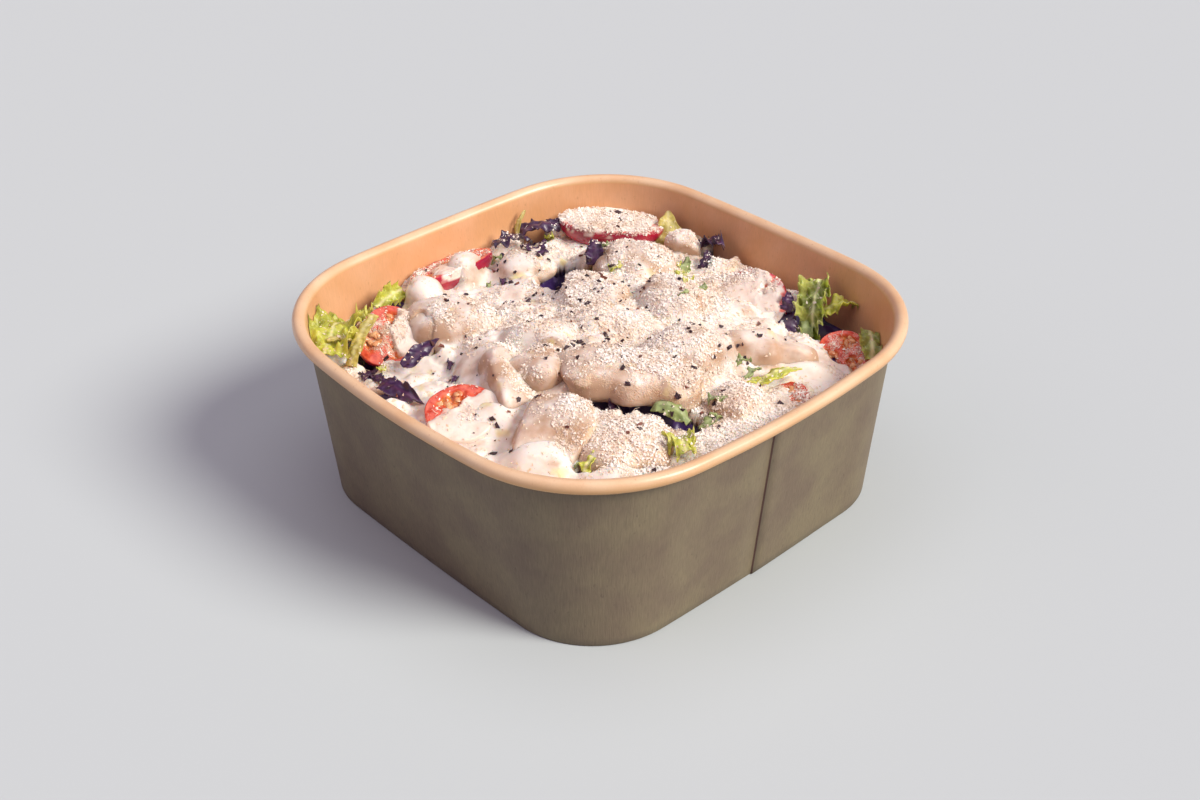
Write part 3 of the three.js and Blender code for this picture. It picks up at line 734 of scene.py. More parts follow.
def mark_runoff_shade(points, faces):
    """The run-off mark: the dressing runs off steep sides and stays on the flats, unevenly, and the darker
    colour this gives steep sides is partly painted shade.
    """
    steep = np.clip((0.9 - steepness(points, faces)) / 0.7, 0, 1)
    return np.clip(0.05 + 0.25 * uneven(points[:, :2], 12, 74) + 0.55 * steep, 0, 1)


def drift(xy):
    """How far the soft pieces have slumped sideways here, so that none keeps a regular outline."""
    return 1.1 * np.column_stack([uneven(xy, 15, 55), uneven(xy, 15, 56)])


def all_ways(rows, columns, pole):
    """Directions all round in rows from below to above. The end rows lie pole radians from the poles."""
    polar = np.linspace(pole, math.pi - pole, rows)[:, None]
    turn = np.linspace(0, 2 * math.pi, columns, endpoint=False)[None, :]
    x, y = np.sin(polar) * np.cos(turn), np.sin(polar) * np.sin(turn)
    return np.stack([x, y, -np.cos(polar) + 0 * turn], -1).reshape(-1, 3)


LUMP_ROWS, LUMP_COLUMNS = 42, 70
PLAIN_RADIUS = 10  # of a round body, on which the unevenness of a lump or a tomato is measured
CUT_SHARPNESS = 12  # of the edges round a cut face


def lump_shape(size, dents, blunt, seed):
    """A rounded body. dents are (azimuth, elevation, width, depth): swellings, or hollows below zero, or,
    where the width is nought, flat faces cut that far from the middle."""
    ways = all_ways(LUMP_ROWS, LUMP_COLUMNS, 0.02)
    reach = 1 / (np.abs(ways) ** blunt).sum(1) ** (1 / blunt)
    for azimuth, elevation, width, depth in dents:
        a, e = math.radians(azimuth), math.radians(elevation)
        towards = np.array([math.cos(e) * math.cos(a), math.cos(e) * math.sin(a), math.sin(e)])
        if width:
            reach += depth * np.exp((ways @ towards - 1) / (width**2 / 2))
        else:
            cut = depth / np.clip(ways @ towards, 0.05, None)
            both = np.exp(-CUT_SHARPNESS * reach) + np.exp(-CUT_SHARPNESS * cut)
            reach = -np.log(both) / CUT_SHARPNESS
    round_body = ways * PLAIN_RADIUS
    reach += 0.05 * uneven(round_body, 14, seed) + 0.01 * uneven(round_body, 6, seed + 1)
    return ways * reach[:, None] * size


LUMPS = []


def add_lump(name, size, turn, slot, dents, blunt, sag, seed, runoff_shade):
    """One dressed lump at its CAD node's place. Its ends sag, and its sides have slumped a little."""
    points = lump_shape(np.array(size), dents, blunt, seed)
    points[:, 2] -= sag * size[2] * (points[:, 0] / size[0]) ** 2
    points = turned(points, turn) + middle(name)
    outward = points - middle(name)
    outward /= np.linalg.norm(outward, axis=1)[:, None]
    points[:, :2] -= drift(points[:, :2])
    faces = ring_faces(LUMP_ROWS, LUMP_COLUMNS)
    cheese = dusted(points, faces)
    runoff_shade_mark = np.clip(mark_runoff_shade(points, faces) + runoff_shade, 0, 1)
    relief = 0.22 * uneven(points, 8, seed + 60) + 0.06 * uneven(points, 3, seed + 61)
    points += outward * (relief + 0.2 * cheese * uneven(points, 1.7, seed + 62))[:, None]
    points = keep_in_bowl(points)
    closed = [faces] + end_caps(LUMP_ROWS, LUMP_COLUMNS)
    make_piece(name + "_dressed", points, closed, [DRESSED], slot, [name],
               marks={"cheese": cheese, "runoff_shade": runoff_shade_mark})
    LUMPS.append((name, np.array(size), turn, runoff_shade))


# Half sizes, turn, how square the shape is, how far the dressing has run off, and its dents.
CHICKEN = {
    "chicken_top_strip": (
        (22.5, 9.4, 5.8), (38, 4, 12), 2.8, 0.5,
        [(-50, -20, 0.25, 0.14), (-128, -20, 0.4, 0.06), (-90, 30, 0.6, -0.06), (100, 30, 0.8, 0.1)],
    ),
    "chicken_near": (
        (15.5, 11.5, 8), (-52, 12, 6), 2.8, 0.5,
        [(175, -10, 0.5, 0.1), (90, 20, 0.5, 0.08), (-90, 12, 0, 0.88), (10, 48, 0, 0.86)],
    ),
    "chicken_near_right": (
        (14, 11, 6.5), (58, 4, 8), 2.5, 0.5,
        [(30, 30, 0.5, 0.1), (-100, 10, 0.4, 0.1)],
    ),
    "chicken_left_near": (
        (14.5, 7.6, 6.6), (-22, 17, 16), 2.8, 0.4,
        [(-90, 28, 0, 0.76), (82, 45, 0, 0.78), (0, 5, 0, 0.9)],
    ),
    "chicken_right": (
        (15.5, 7.8, 6.8), (50, 14, 0), 3.2, 0.4,
        [(180, 10, 0.5, 0.12), (-90, 25, 0, 0.86), (60, 70, 0, 0.9)],
    ),
    "chicken_peak": (
        (13, 10, 4.9), (24, -6, 0), 2.2, 0.35,
        [(135, 40, 0.3, 0.36), (203, 20, 0.5, -0.28), (-60, 45, 0, 0.78)],
    ),
    "chicken_far_wall": (
        (6.5, 4.5, 4.6), (20, 10, 0), 2.8, 0.2,
        [(80, 60, 0.4, 0.25), (-60, 0, 0.4, -0.1)],
    ),
}
CHICKEN_SAG, PASTA_SAG = 0.16, 0.1
for seed, (name, (size, turn, blunt, runoff_shade, dents)) in enumerate(CHICKEN.items()):
    add_lump(name, size, turn, "chicken", dents, blunt, CHICKEN_SAG, 10 * seed + 100, runoff_shade)

# Half sizes, turn, and how far the dressing has run off.
PASTA = {
    "pasta_top_left": ((10, 9.2, 8), (60, 0, 0), 0.65),
    "pasta_top_right": ((14, 10, 6.1), (-38, 6, 0), 0.3),
    "pasta_right_mid": ((14, 10.5, 7.2), (70, 0, 8), 0.3),
    "pasta_left_wall_near": ((9.5, 6.6, 6.6), (-28, 10, 0), 0),
    "pasta_left_wall_far": ((7.5, 6, 6), (64, 0, 0), 0),
    "pasta_left_slope": ((17, 12, 8), (30, 0, 0), 0.35),
    "pasta_far_slope": ((15, 11, 7.2), (35, 0, 0), 0.4),
    "pasta_far_left": ((11, 9, 4.5), (60, 0, 0), 0.2),
    "pasta_near_right_wall": ((9, 7.5, 5), (80, 0, 0), 0.25),
}
PASTA_DENTS = [(90, 60, 0.5, -0.12), (20, 35, 0.5, 0.06), (160, 30, 0.4, -0.05)]
PASTA_BLUNT = 2.1
for seed, (name, (size, turn, runoff_shade)) in enumerate(PASTA.items()):
    add_lump(name, size, turn, "pasta", PASTA_DENTS, PASTA_BLUNT, PASTA_SAG, 10 * seed + 300, runoff_shade)

# ---------------------------------------------------------------------------------------------------
# Loose salad leaves: curly green lettuce and dark red leaves. Each is a thin sheet on a fleshy rib, whose
# edge has grown longer than its middle, so that it ruffles.
# ---------------------------------------------------------------------------------------------------

LEAF_THICKNESS = 0.35


def two_sided(faces, many):
    """The faces of a sheet's upper side, of its lower side many points further on, and of its edge."""
    edges = np.concatenate([faces[:, [k, (k + 1) % 4]] for k in range(4)])
    lone = ~np.isin(edges[:, 0] * many + edges[:, 1], edges[:, 1] * many + edges[:, 0])
    a, b = edges[lone].T
    return np.concatenate([faces, faces[:, ::-1] + many, np.column_stack([b, a, a + many, b + many])])


def leaf_sheet(length, width, ruffle, waves, arch, taper, seed, teeth=0.0, cup=0.0, rib=0.8, crinkle=0.0,
               along=70, across=24):
    """Points, faces and marks of one leaf, with its rib along X and its upper side up."""
    stations = np.linspace(0, 1, along), np.linspace(-1, 1, across)
    u, v = (g.ravel() for g in np.meshgrid(*stations, indexing="ij"))
    far = np.abs(v)
    wave = 2 * math.pi * waves * u
    shift = np.random.default_rng(seed).uniform(0, 2 * math.pi, 6)[:, None] + (v > 0) * 2.1
    half = width / 2 * (np.sin(math.pi * (0.12 + 0.88 * u) ** 0.8) * (1 - taper) + taper)
    tooth = np.abs((u * length / 1.6 + 0.3 * np.sin(9 * u + seed)) % 1 - 0.5) * 2
    lobes = 0.1 * far**3 * np.sin(2.3 * wave + shift[5])
    half = half * (1 + teeth * far**8 * (tooth - 0.5) + lobes)
    x = (u - 0.5) * length + 0.35 * ruffle * far**3 * np.cos(2.6 * wave + shift[0])
    flat = np.column_stack([x, v * half])
    z = ruffle * far**2 * np.sin(wave + shift[1])
    z += 0.5 * ruffle * far**3 * np.sin(2.6 * wave + shift[2])
    z += 0.24 * ruffle * far**5 * np.sin(6.1 * wave + shift[3])
    z += cup * far**2 * half + 0.05 * width * uneven(flat, width / 2, seed)
    z += crinkle * uneven(flat, 3.2, seed + 5) * (0.3 + far)
    y = v * half * (1 - 0.15 * far)
    z += arch * np.sin(math.pi * u)
    side_vein = np.abs((u * length / 3.5 - far * width / 6) % 1 - 0.5) * 2
    vein = np.exp(-((v * half / (0.35 + 0.35 * rib)) ** 2))
    vein += 0.5 * np.exp(-((side_vein / 0.16) ** 2)) * (1 - far)
    thick = LEAF_THICKNESS / 2 + rib * np.exp(-((v * half / (0.4 + rib)) ** 2)) * (1 - 0.8 * u) / 2
    points = np.concatenate([np.column_stack([x, y, z + thick]), np.column_stack([x, y, z - thick])])
    corner = (np.arange(along - 1)[:, None] * across + np.arange(across - 1)[None, :]).ravel()
    faces = np.stack([corner, corner + across, corner + across + 1, corner + 1], 1)
    marks = {"vein": np.tile(np.clip(vein, 0, 1), 2), "edge": np.tile(far**6, 2)}
    return points, two_sided(faces, len(x)), marks


# The sheet's measures, its turn, and in some a shift from the CAD node's middle.
LEAVES = {
    "lettuce_left": (dict(length=32, width=21, ruffle=2.2, waves=3, arch=5, taper=0.9, teeth=0.06, cup=0.2,
                          rib=0.5, crinkle=1.0, along=180, across=60), (-50, -10, 6)),
    "lettuce_left_frill": (dict(length=14, width=9, ruffle=1.8, waves=2.5, arch=2, taper=0.5, teeth=0.15,
                                crinkle=0.5), (-76, 0, -30)),
    "lettuce_stem_left": (dict(length=19, width=5, ruffle=0.1, waves=1, arch=2, taper=0.9, rib=0.9),
                          (112, -34, 0), (3, -1.5, 2)),
    "lettuce_right": (dict(length=23, width=12, ruffle=3.2, waves=2.6, arch=5, taper=0.5, teeth=0.05, cup=0.8,
                           rib=0.5, crinkle=1.2, along=130, across=44), (-55, 46, 10)),
    "lettuce_right_corner": (dict(length=12, width=9, ruffle=1.6, waves=2, arch=2, taper=0.6, teeth=0.2,
                                  crinkle=0.5), (-45, 20, 0)),
    "lettuce_near_right": (dict(length=12, width=7, ruffle=0.6, waves=1.5, arch=2.4, taper=0.5, cup=-0.4,
                                crinkle=0.2), (20, 16, 8), (-5, -4.5, 0.5)),
    "lettuce_tongue": (dict(length=16, width=6, ruffle=0.5, waves=1.5, arch=2, taper=0.2, cup=-0.25,
                            crinkle=0.2), (64, -12, 0)),
    "lettuce_rim_frill": (dict(length=12, width=10, ruffle=2.2, waves=2.5, arch=2, taper=0.6, teeth=0.3,
                               crinkle=0.8), (-30, -20, 0)),
    "lettuce_far_wedge": (dict(length=15, width=12, ruffle=0.3, waves=1, arch=1, taper=0.1, rib=0.8,
                               crinkle=0.15), (137, -50, 0)),
    "red_leaf_blade": (dict(length=16, width=6.5, ruffle=0.0, waves=1, arch=1.2, taper=0.02, cup=0.15,
                            rib=0.3), (95, -12, 20)),
    "red_leaf_rim": (dict(length=18, width=8, ruffle=1.2, waves=1.3, arch=1.6, taper=0.1, cup=0.2,
                          crinkle=0.15), (8, 0, 20), (3, 0, -0.5)),
    "red_leaf_far": (dict(length=16, width=9, ruffle=1.2, waves=1.1, arch=2.0, taper=0.4,
                          crinkle=0.3), (50, -10, 10)),
    "red_leaf_left_far": (dict(length=14, width=8, ruffle=1.1, waves=1.3, arch=1.6, taper=0.4,
                               crinkle=0.4), (70, 0, -10)),
    "red_leaf_far_wall": (dict(length=14, width=8, ruffle=1.6, waves=2.4, arch=2, taper=0.5, teeth=0.08,
                               crinkle=0.6), (-20, -28, 0)),
}
leaf_stalk = leaf_skin("leaf_stalk", "d2c06c", "a8a050", "e4dca8", "b8aa5a", 0.5, Subsurface_Weight=0.4,
                       Subsurface_Radius=(0.003, 0.003, 0.001), Subsurface_Scale=0.8)
OTHER_SKINS = {"lettuce_stem_left": leaf_stalk, "lettuce_far_wedge": leaf_stalk,
               "lettuce_near_right": leaf_dark_green, "lettuce_right": leaf_mid_green,
               "lettuce_right_corner": leaf_mid_green}
for seed, (name, (shape, turn, *shift)) in enumerate(LEAVES.items()):
    points, faces, marks = leaf_sheet(seed=seed + 2, **shape)
    points = keep_in_bowl(turned(points, turn) + middle(name) + (shift[0] if shift else 0))
    is_red = name.startswith("red")
    skin = OTHER_SKINS.get(name, leaf_red if is_red else leaf_green)
    slot = "red_leaf" if is_red else "green_leaf"
    make_piece(name + "_sheet", points, faces, [skin], slot, [name], marks=marks)

# ---------------------------------------------------------------------------------------------------
# Halves of cherry tomato. Each has a dome of glossy skin and a wet cut face with a fleshy wall, three
# seed chambers full of gel, and a pale core. Dressing lies over part of most faces.
# ---------------------------------------------------------------------------------------------------

TOMATO_COLUMNS = 96
FACE_RINGS, RIM_RINGS, DOME_RINGS = 24, 6, 20
TOMATO_ROWS = FACE_RINGS + RIM_RINGS + DOME_RINGS
CHAMBER_DEPTH = 1.5
BEVEL = 0.9  # how far the skin's edge lies below the cut face
SAUCE_DEPTH = 0.7
RIGHT, AWAY = np.array([0.68, 0.73]), np.array([-0.73, 0.68])  # along the front of the bowl, and back

# Size, turn, first chamber's angle, and the dressing: offsets along RIGHT and AWAY, spread, amount.
TOMATOES = {
    "tomato_far_corner": ((19.5, 13, 10.5), (43, 4, -8), 20,
                          [(-5, 2, 9, 2.6), (6, 5, 6, 3.2), (8, -3, 4, 0.8)]),
    "tomato_left_far": ((17, 10, 9), (92, 0, -16), 60, [(1, -6, 6, 1.6)]),
    "tomato_left_near": ((11, 11, 9), (-40, 34, 0), 35, [(6.5, 2.5, 4.8, 1.8), (8.5, -2, 3.5, 1.2)]),
    "tomato_near": ((11.5, 11.5, 9), (40, 0, 18), 10, [(5, -7, 7, 1.8), (9, 2, 5, 1.4), (-5, -8, 6, 1.2)]),
    "tomato_right": ((8.8, 8.4, 6.5), (42, 0, 42), 75, [(-8, -4, 3, 1.4)]),
    "tomato_right_far": ((13, 13, 9), (24, -6, 36), 40, [(-4, -3, 10.5, 1.9)]),
    "tomato_near_right": ((8, 7.5, 6.5), (0, -8, 20), 0, [(-3, 1, 5, 1.5)]),
}


def face_centre(node_name, spin):
    """The middle of a CAD half's cut face, and how its points lie in the half's own directions."""
    mesh = frame["nodes"][node_name].data
    points = np.array([v.co for v in mesh.vertices]) / METRES @ spin
    face = points[points[:, 2] > points[:, 2].max() - 0.3]
    centre = (face.min(0) + face.max(0)) / 2
    return spin @ np.array([centre[0], centre[1], points[:, 2].max()])


def out_of_round(angle, seed):
    return 1 + 0.025 * np.sin(3 * angle + seed) + 0.015 * np.sin(5 * angle + 2 * seed)


def tomato_half(size, first_chamber, seed):
    """Points of a half, face up, and its marks gel and skin."""
    shares = np.concatenate([np.linspace(0.02, 0.9, FACE_RINGS), np.linspace(0.92, 1, RIM_RINGS)])
    turn = np.linspace(0, 2 * math.pi, TOMATO_COLUMNS, endpoint=False)
    share, angle = (g.ravel() for g in np.meshgrid(shares, turn, indexing="ij"))
    lobes = np.cos(1.5 * (angle - math.radians(first_chamber))) ** 2
    span = np.clip(1 - ((share - 0.5) / 0.3) ** 2, 0, 1)
    gel = np.clip(lobes * 1.7 - 0.35, 0, 1) * np.clip(span * 2, 0, 1)
    flat = np.column_stack([share * np.cos(angle), share * np.sin(angle)]) * PLAIN_RADIUS
    height = -CHAMBER_DEPTH * gel * (0.75 + 0.3 * uneven(flat, 2.5, seed)) + 0.12 * uneven(flat, 3, seed + 1)
    height -= BEVEL * np.clip((share - 0.95) / 0.05, 0, 1) ** 3 + 0.3 * np.clip(1 - share / 0.2, 0, 1)
    skin = np.clip((share - 0.955) / 0.03, 0, 1)
    rounds = flat / PLAIN_RADIUS * out_of_round(angle, seed)[:, None]
    face = np.column_stack([rounds * size[:2], height])
    down = np.linspace(0.09, math.pi / 2 - 0.03, DOME_RINGS)
    lower, angle = (g.ravel() for g in np.meshgrid(down, turn, indexing="ij"))
    rounds = np.column_stack([np.cos(lower) * np.cos(angle), np.cos(lower) * np.sin(angle)])
    rounds *= out_of_round(angle, seed)[:, None]
    dome = np.column_stack([rounds * size[:2], -BEVEL - np.sin(lower) * (size[2] - BEVEL)])
    gel = np.concatenate([gel, 0 * lower])
    skin = np.concatenate([skin, 0 * lower + 1])
    return np.concatenate([face, dome]), gel, skin


def tomato_skin(name, peel_colour, deep_colour, flesh_colour):
    material, tree, bsdf = new_material(name, Subsurface_Weight=0.15, Subsurface_Scale=1.0,
                                        Subsurface_Radius=(0.003, 0.001, 0.0006), Coat_Roughness=0.12)
    place = add_node(tree, "TexCoord").outputs["Object"]
    marks = {label: mark(tree, label) for label in ("gel", "skin", "sauce", "cheese")}
    fibres = noise(tree, place, 1.5, 4.0)
    flesh = blend(tree, ramp(tree, fibres, 0.35, 0.65), colour(flesh_colour), colour("e8694a"))
    grit = ramp(tree, noise(tree, place, 1.1, 3.0), 0.35, 0.65)
    pulp = blend(tree, grit, colour("c8431c"), colour("e89a52"))
    cloud = ramp(tree, noise(tree, place, 9, 2.0), 0.35, 0.65)
    peel = blend(tree, cloud, colour(peel_colour), colour(deep_colour))
    ground = blend(tree, marks["skin"], blend(tree, marks["gel"], flesh, pulp), peel)
    sauce = blend(tree, ramp(tree, noise(tree, place, 4, 3.0), 0.3, 0.7), colour("f3e8dd"), colour("e6d0c0"))
    covered = blend(tree, ramp(tree, marks["sauce"], 0.08, 0.35), ground, sauce)
    dust = place_effect(tree, GRATED_DUST, links={"Ground": covered, "Cover": marks["cheese"]})
    wet = ramp(tree, calc(tree, "MAXIMUM", marks["sauce"], dust["Mask"]), 0.0, 1.0, 0.8, 0.0)
    tree.links.new(wet, bsdf.inputs["Coat Weight"])
    rough = ramp(tree, dust["Mask"], 0.0, 1.0, 0.25, 0.75)
    ribs = calc(tree, "MULTIPLY", fibres, calc(tree, "MULTIPLY", marks["gel"], 0.5))
    height = calc(tree, "ADD", dust["Height"], ribs)
    connect(tree, bsdf, dust["Color"], rough, height, 0.4, 0.7)
    return material


scarlet_tomato = tomato_skin("scarlet_tomato", "c02a1e", "aa1a1e", "c83e28")
crimson_tomato = tomato_skin("crimson_tomato", "b81634", "8f1038", "c43048")
CRIMSON = {"tomato_far_corner", "tomato_right_far", "tomato_left_far"}  # riper, and without loose seeds
SEEDS_A_HALF = 14
seed_places = []
for seed, (name, (size, turn, first_chamber, covers)) in enumerate(TOMATOES.items()):
    spin = rotation(turn)
    points, gel, skin = tomato_half(np.array(size), first_chamber, seed + 3)
    hollow = points[:, 2] * (points[:, 2] > -CHAMBER_DEPTH * 1.3)
    centre = face_centre(name, spin)
    points = points @ spin.T + centre
    ragged = 0.16 * uneven(points, 7, seed + 20)
    sauce = np.full(len(points), -0.15) + ragged + 0.08 * uneven(points, 2.5, seed + 40)
    for right, away, spread, amount in covers:
        spot = centre[:2] + right * RIGHT + away * AWAY
        sauce += amount * hill(points[:, 0], points[:, 1], spot, spread)
    on_top = np.clip((points - centre) @ spin[:, 2] / 1.5 + 2.2, 0, 1)
    sauce = np.clip((sauce - 0.55) / 0.4, 0, 1)
    sauce = sauce**2 * (3 - 2 * sauce) * on_top
    rise = SAUCE_DEPTH * (1 + ragged) - hollow * (gel > 0)
    points = keep_in_bowl(points + spin[:, 2] * (sauce * rise)[:, None])
    faces = ring_faces(TOMATO_ROWS, TOMATO_COLUMNS)[:, ::-1]
    closed = [faces] + [cap[:, ::-1] for cap in end_caps(TOMATO_ROWS, TOMATO_COLUMNS)]
    cheese = dusted(points, faces) * (0.75 + 0.25 * sauce)
    skin_of = crimson_tomato if name in CRIMSON else scarlet_tomato
    make_piece(name + "_half", points, closed, [skin_of], "tomato", [name],
               marks={"gel": gel, "skin": skin, "sauce": sauce, "cheese": cheese})
    in_gel = np.flatnonzero((gel > 0.6) & (sauce < 0.1))
    if len(in_gel) and name not in CRIMSON:
        picks = np.random.default_rng(seed).choice(in_gel, SEEDS_A_HALF)
        seed_places += [(*points[i], *spin[:, 2]) for i in picks]

# ---------------------------------------------------------------------------------------------------
# The dressing: a thick creamy coat, poured over the salad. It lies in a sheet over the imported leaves,
# climbs the pieces in soft fillets, and leaves gaps where leaves hold it up.
# ---------------------------------------------------------------------------------------------------

COAT_STEP = 0.7
COAT_REACH = 82
COAT_THICKNESS = 3.0
GAP_EDGE, GAP_LIP = 0.8, -1.2  # how far inside a gap the coat ends, and starts to sink towards its end
LIP_DROP = 2.4
# Pieces that stand out of the coat, which laps only their feet.
SHOWING = {"chicken_top_strip", "chicken_near", "chicken_near_right", "chicken_left_near", "pasta_top_left",
           "chicken_right", "chicken_far_wall", "chicken_peak"}
SHOWING_LIFT, SHOWING_FILLET = -3.0, 4.2  # of the coat over their upper side, and where the two meet
BURIED_LIFT, BURIED_FILLET = 1.2, 2.2
SWELL_FILLET = 2.5

# Rounded lobes of the coat over things that nobody sees: node, offset from its middle, half sizes, turn
# in degrees, and rise.
SWELLS = [
    ("chicken_near", (5, -9), (10, 7), 40, 4), ("chicken_near_right", (6, -12), (8, 5), 45, 3),
    ("pasta_left_slope", (-14, 8), (9, 7), 20, 4), ("pasta_left_slope", (2, -10), (9, 5), 10, 3),
    ("chicken_right", (12, 4), (8, 5), 60, 3), ("pasta_far_slope", (-12, -6), (8, 6), 0, 4),
    ("chicken_peak", (14, 18), (9, 6), -30, 5), ("pasta_top_left", (-12, 10), (10, 6), 30, 4),
    ("tomato_far_corner", (20, -16), (9, 6), 45, 3), ("pasta_top_right", (2, -2), (15, 6), 0, 4),
    ("pasta_near_right_wall", (6, -3), (15, 5), 75, 2.5), ("tomato_near", (7, 8), (8, 5), 45, 2.5),
    ("chicken_left_near", (-15, 7), (10, 8), -20, 4), ("pasta_top_left", (-4, 9), (9, 6), 30, 4.5),
]


def soft_max(a, b, width):
    """The larger of two heights, rounded over width where they meet."""
    d = np.clip((a - b) / width, -1, 1)
    return np.maximum(a, b) + width * (1 - np.abs(d)) ** 2 / 4


def lump_roof(x, y, name, size, turn):
    """The height of a lump's upper side, running on steeply below past its edge."""
    spin = rotation(turn)
    spread = spin @ np.diag(size**2) @ spin.T
    seen = np.linalg.inv(spread[:2, :2])
    d = np.stack([x, y], -1) - middle(name)[:2]
    tilt = seen @ spread[:2, 2]
    thick = math.sqrt(spread[2, 2] - spread[2, :2] @ tilt)
    radius = np.sqrt(np.einsum("...i,ij,...j->...", d, seen, d))
    drop = 1.6 * np.clip(radius - 0.97, 0, None) * min(size[:2]) / thick
    return middle(name)[2] + d @ tilt + thick * (np.sqrt(np.clip(1 - radius**2, 0, 1)) - drop)


# A square grid seen from above. What lies past the wall is drawn back to it, and points close to a gap's
# edge are moved onto that edge.
axis = np.arange(-COAT_REACH, COAT_REACH + COAT_STEP, COAT_STEP)
grid_x, grid_y = (g.ravel() for g in np.meshgrid(axis, axis))
reach = inner_wall_radius(grid_x, grid_y, SALAD_LEVEL)
radius = np.hypot(grid_x, grid_y)
outside = radius > reach
squeeze = np.where(outside, reach / radius, 1)
grid_x, grid_y = grid_x * squeeze, grid_y * squeeze
gaps = gap_at(grid_x, grid_y)[0]
PROBE = 0.05
probes = [gap_at(grid_x + PROBE, grid_y)[0], gap_at(grid_x, grid_y + PROBE)[0]]
slope = np.column_stack([probe - gaps for probe in probes]) / PROBE
near_edge = np.abs(gaps - GAP_EDGE) < 0.5 * COAT_STEP * np.linalg.norm(slope, axis=1)
snap = slope * ((GAP_EDGE - gaps) / (slope**2).sum(1).clip(1e-6))[:, None] * near_edge[:, None]
grid_x, grid_y = grid_x + snap[:, 0], grid_y + snap[:, 1]
gaps = np.where(near_edge, GAP_EDGE, gaps)
flat = np.column_stack([grid_x, grid_y])

# The height of the top: the heap's own, then over the lumps and the swells, then down into the gaps.
slumped = flat + drift(flat)
folds = 1.5 * np.abs(uneven(slumped, 14, 71)) + 0.5 * np.abs(uneven(flat, 5, 72))
top = heap_height(grid_x, grid_y) + folds - 0.9
over_lumps = 0 * top
for name, size, turn, runoff_shade in LUMPS:
    roof = lump_roof(slumped[:, 0], slumped[:, 1], name, size, turn)
    over_lumps = np.maximum(over_lumps, runoff_shade * np.clip((roof - top + 1) / 3, 0, 1))
    if name in SHOWING:
        top = soft_max(top, roof + SHOWING_LIFT, SHOWING_FILLET)
    else:
        top = soft_max(top, roof + BURIED_LIFT, BURIED_FILLET)
for node_name, offset, half, turn, rise in SWELLS:
    centre = middle(node_name)[:2] + offset
    away = oval(slumped[:, 0], slumped[:, 1], centre, half, turn)
    top = soft_max(top, heap_height(*centre) + rise * (1.4 - away**2), SWELL_FILLET)
opened = np.clip((gaps - GAP_LIP) / (GAP_EDGE - GAP_LIP), 0, 1) ** 2
leaves_below = core_height(grid_x, grid_y)
top = np.where(gaps > GAP_LIP, np.maximum(top - LIP_DROP * opened, leaves_below), top)
coat_cheese = cheese_cover(np.column_stack([flat, top]))
top += coat_cheese * (0.25 * np.abs(uneven(flat, 2.6, 73)) + 0.15 * uneven(flat, 1.6, 76))

# The grid's cells that are inside the wall, outside the gaps and not buried in the leaves.
columns = len(axis)
cell = (np.arange(columns - 1)[:, None] * columns + np.arange(columns - 1)[None, :]).ravel()
cells = np.stack([cell, cell + 1, cell + columns + 1, cell + columns], 1)
shown = ~outside[cells].all(1) & (top > leaves_below - 1.9)[cells].any(1)
shown &= (gaps < GAP_EDGE + 0.01)[cells].all(1)
used, numbers = np.unique(cells[shown], return_inverse=True)
cells = numbers.reshape(-1, 4)

# The coat's upper side, its lower side and its edge.
upper = np.column_stack([grid_x, grid_y, top])[used]
lower_share = inner_wall_radius(upper[:, 0], upper[:, 1], upper[:, 2] - COAT_THICKNESS - 1)
lower_share = np.minimum(lower_share / np.hypot(upper[:, 0], upper[:, 1]), 1)
lower = np.column_stack([upper[:, :2] * lower_share[:, None], upper[:, 2] - COAT_THICKNESS])
coat_points = keep_in_bowl(np.concatenate([upper, lower]), 0)
coat_faces = two_sided(cells, len(used))
coat_cheese = coat_cheese[used] * np.clip((steepness(upper, cells) - 0.1) / 0.5, 0, 1) * (1 - opened[used])
coat_cheese = np.concatenate([coat_cheese, 0 * coat_cheese])
lobe = hill(coat_points[:, 0], coat_points[:, 1], middle("chicken_near")[:2] + (4, -9), 7)
over_lumps = np.tile(over_lumps[used], 2)
# The coat's run-off mark, which also paints its steep slopes darker as shade.
coat_runoff_shade = np.clip(mark_runoff_shade(coat_points, coat_faces) + over_lumps - 0.7 * lobe, 0, 1)
make_piece("dressing_coat", coat_points, coat_faces, [DRESSED], "dressing", ["salad_bed"],
           marks={"cheese": coat_cheese, "runoff_shade": coat_runoff_shade})

# ---------------------------------------------------------------------------------------------------
# Scraps of leaf that come through the dressing and lie in its gaps, torn from the same curly green and
# dark red leaves, and the flat seeds that stick in the gel of the tomatoes.
# ---------------------------------------------------------------------------------------------------

# What things land on, and how well each holds them.
SALAD_SLOTS = {"green_leaf": 0.25, "red_leaf": 0.35, "tomato": 0.75, "chicken": 1.0, "pasta": 1.0,
               "dressing": 1.0}
SKY = 90  # height from which things fall
DOWN = Vector((0, 0, -1))


def landing_surface():
    """Everything edible made so far as one surface, and how well its faces hold what falls on them."""
    points, faces, hold = [], [], []
    for piece in list(bpy.context.scene.objects):
        if piece.get("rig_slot") in SALAD_SLOTS:
            start = len(points)
            points += [v.co[:] for v in piece.data.vertices]
            faces += [[start + i for i in face.vertices] for face in piece.data.polygons]
            hold += [SALAD_SLOTS[piece["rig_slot"]]] * len(piece.data.polygons)
    return BVHTree.FromPolygons(points, faces), hold


def fall(landing, places):
    """Where things dropped at places x, y land: points, normals and how well the surface holds them."""
    surface, hold = landing
    landed = []
    for x, y in places * METRES:
        point, normal, index, _ = surface.ray_cast(Vector((x, y, SKY * METRES)), DOWN)
        if point is not None:
            landed.append((*(point / METRES), *normal, hold[index]))
    landed = np.array(landed)
    return landed[:, :3], landed[:, 3:6], landed[:, 6]


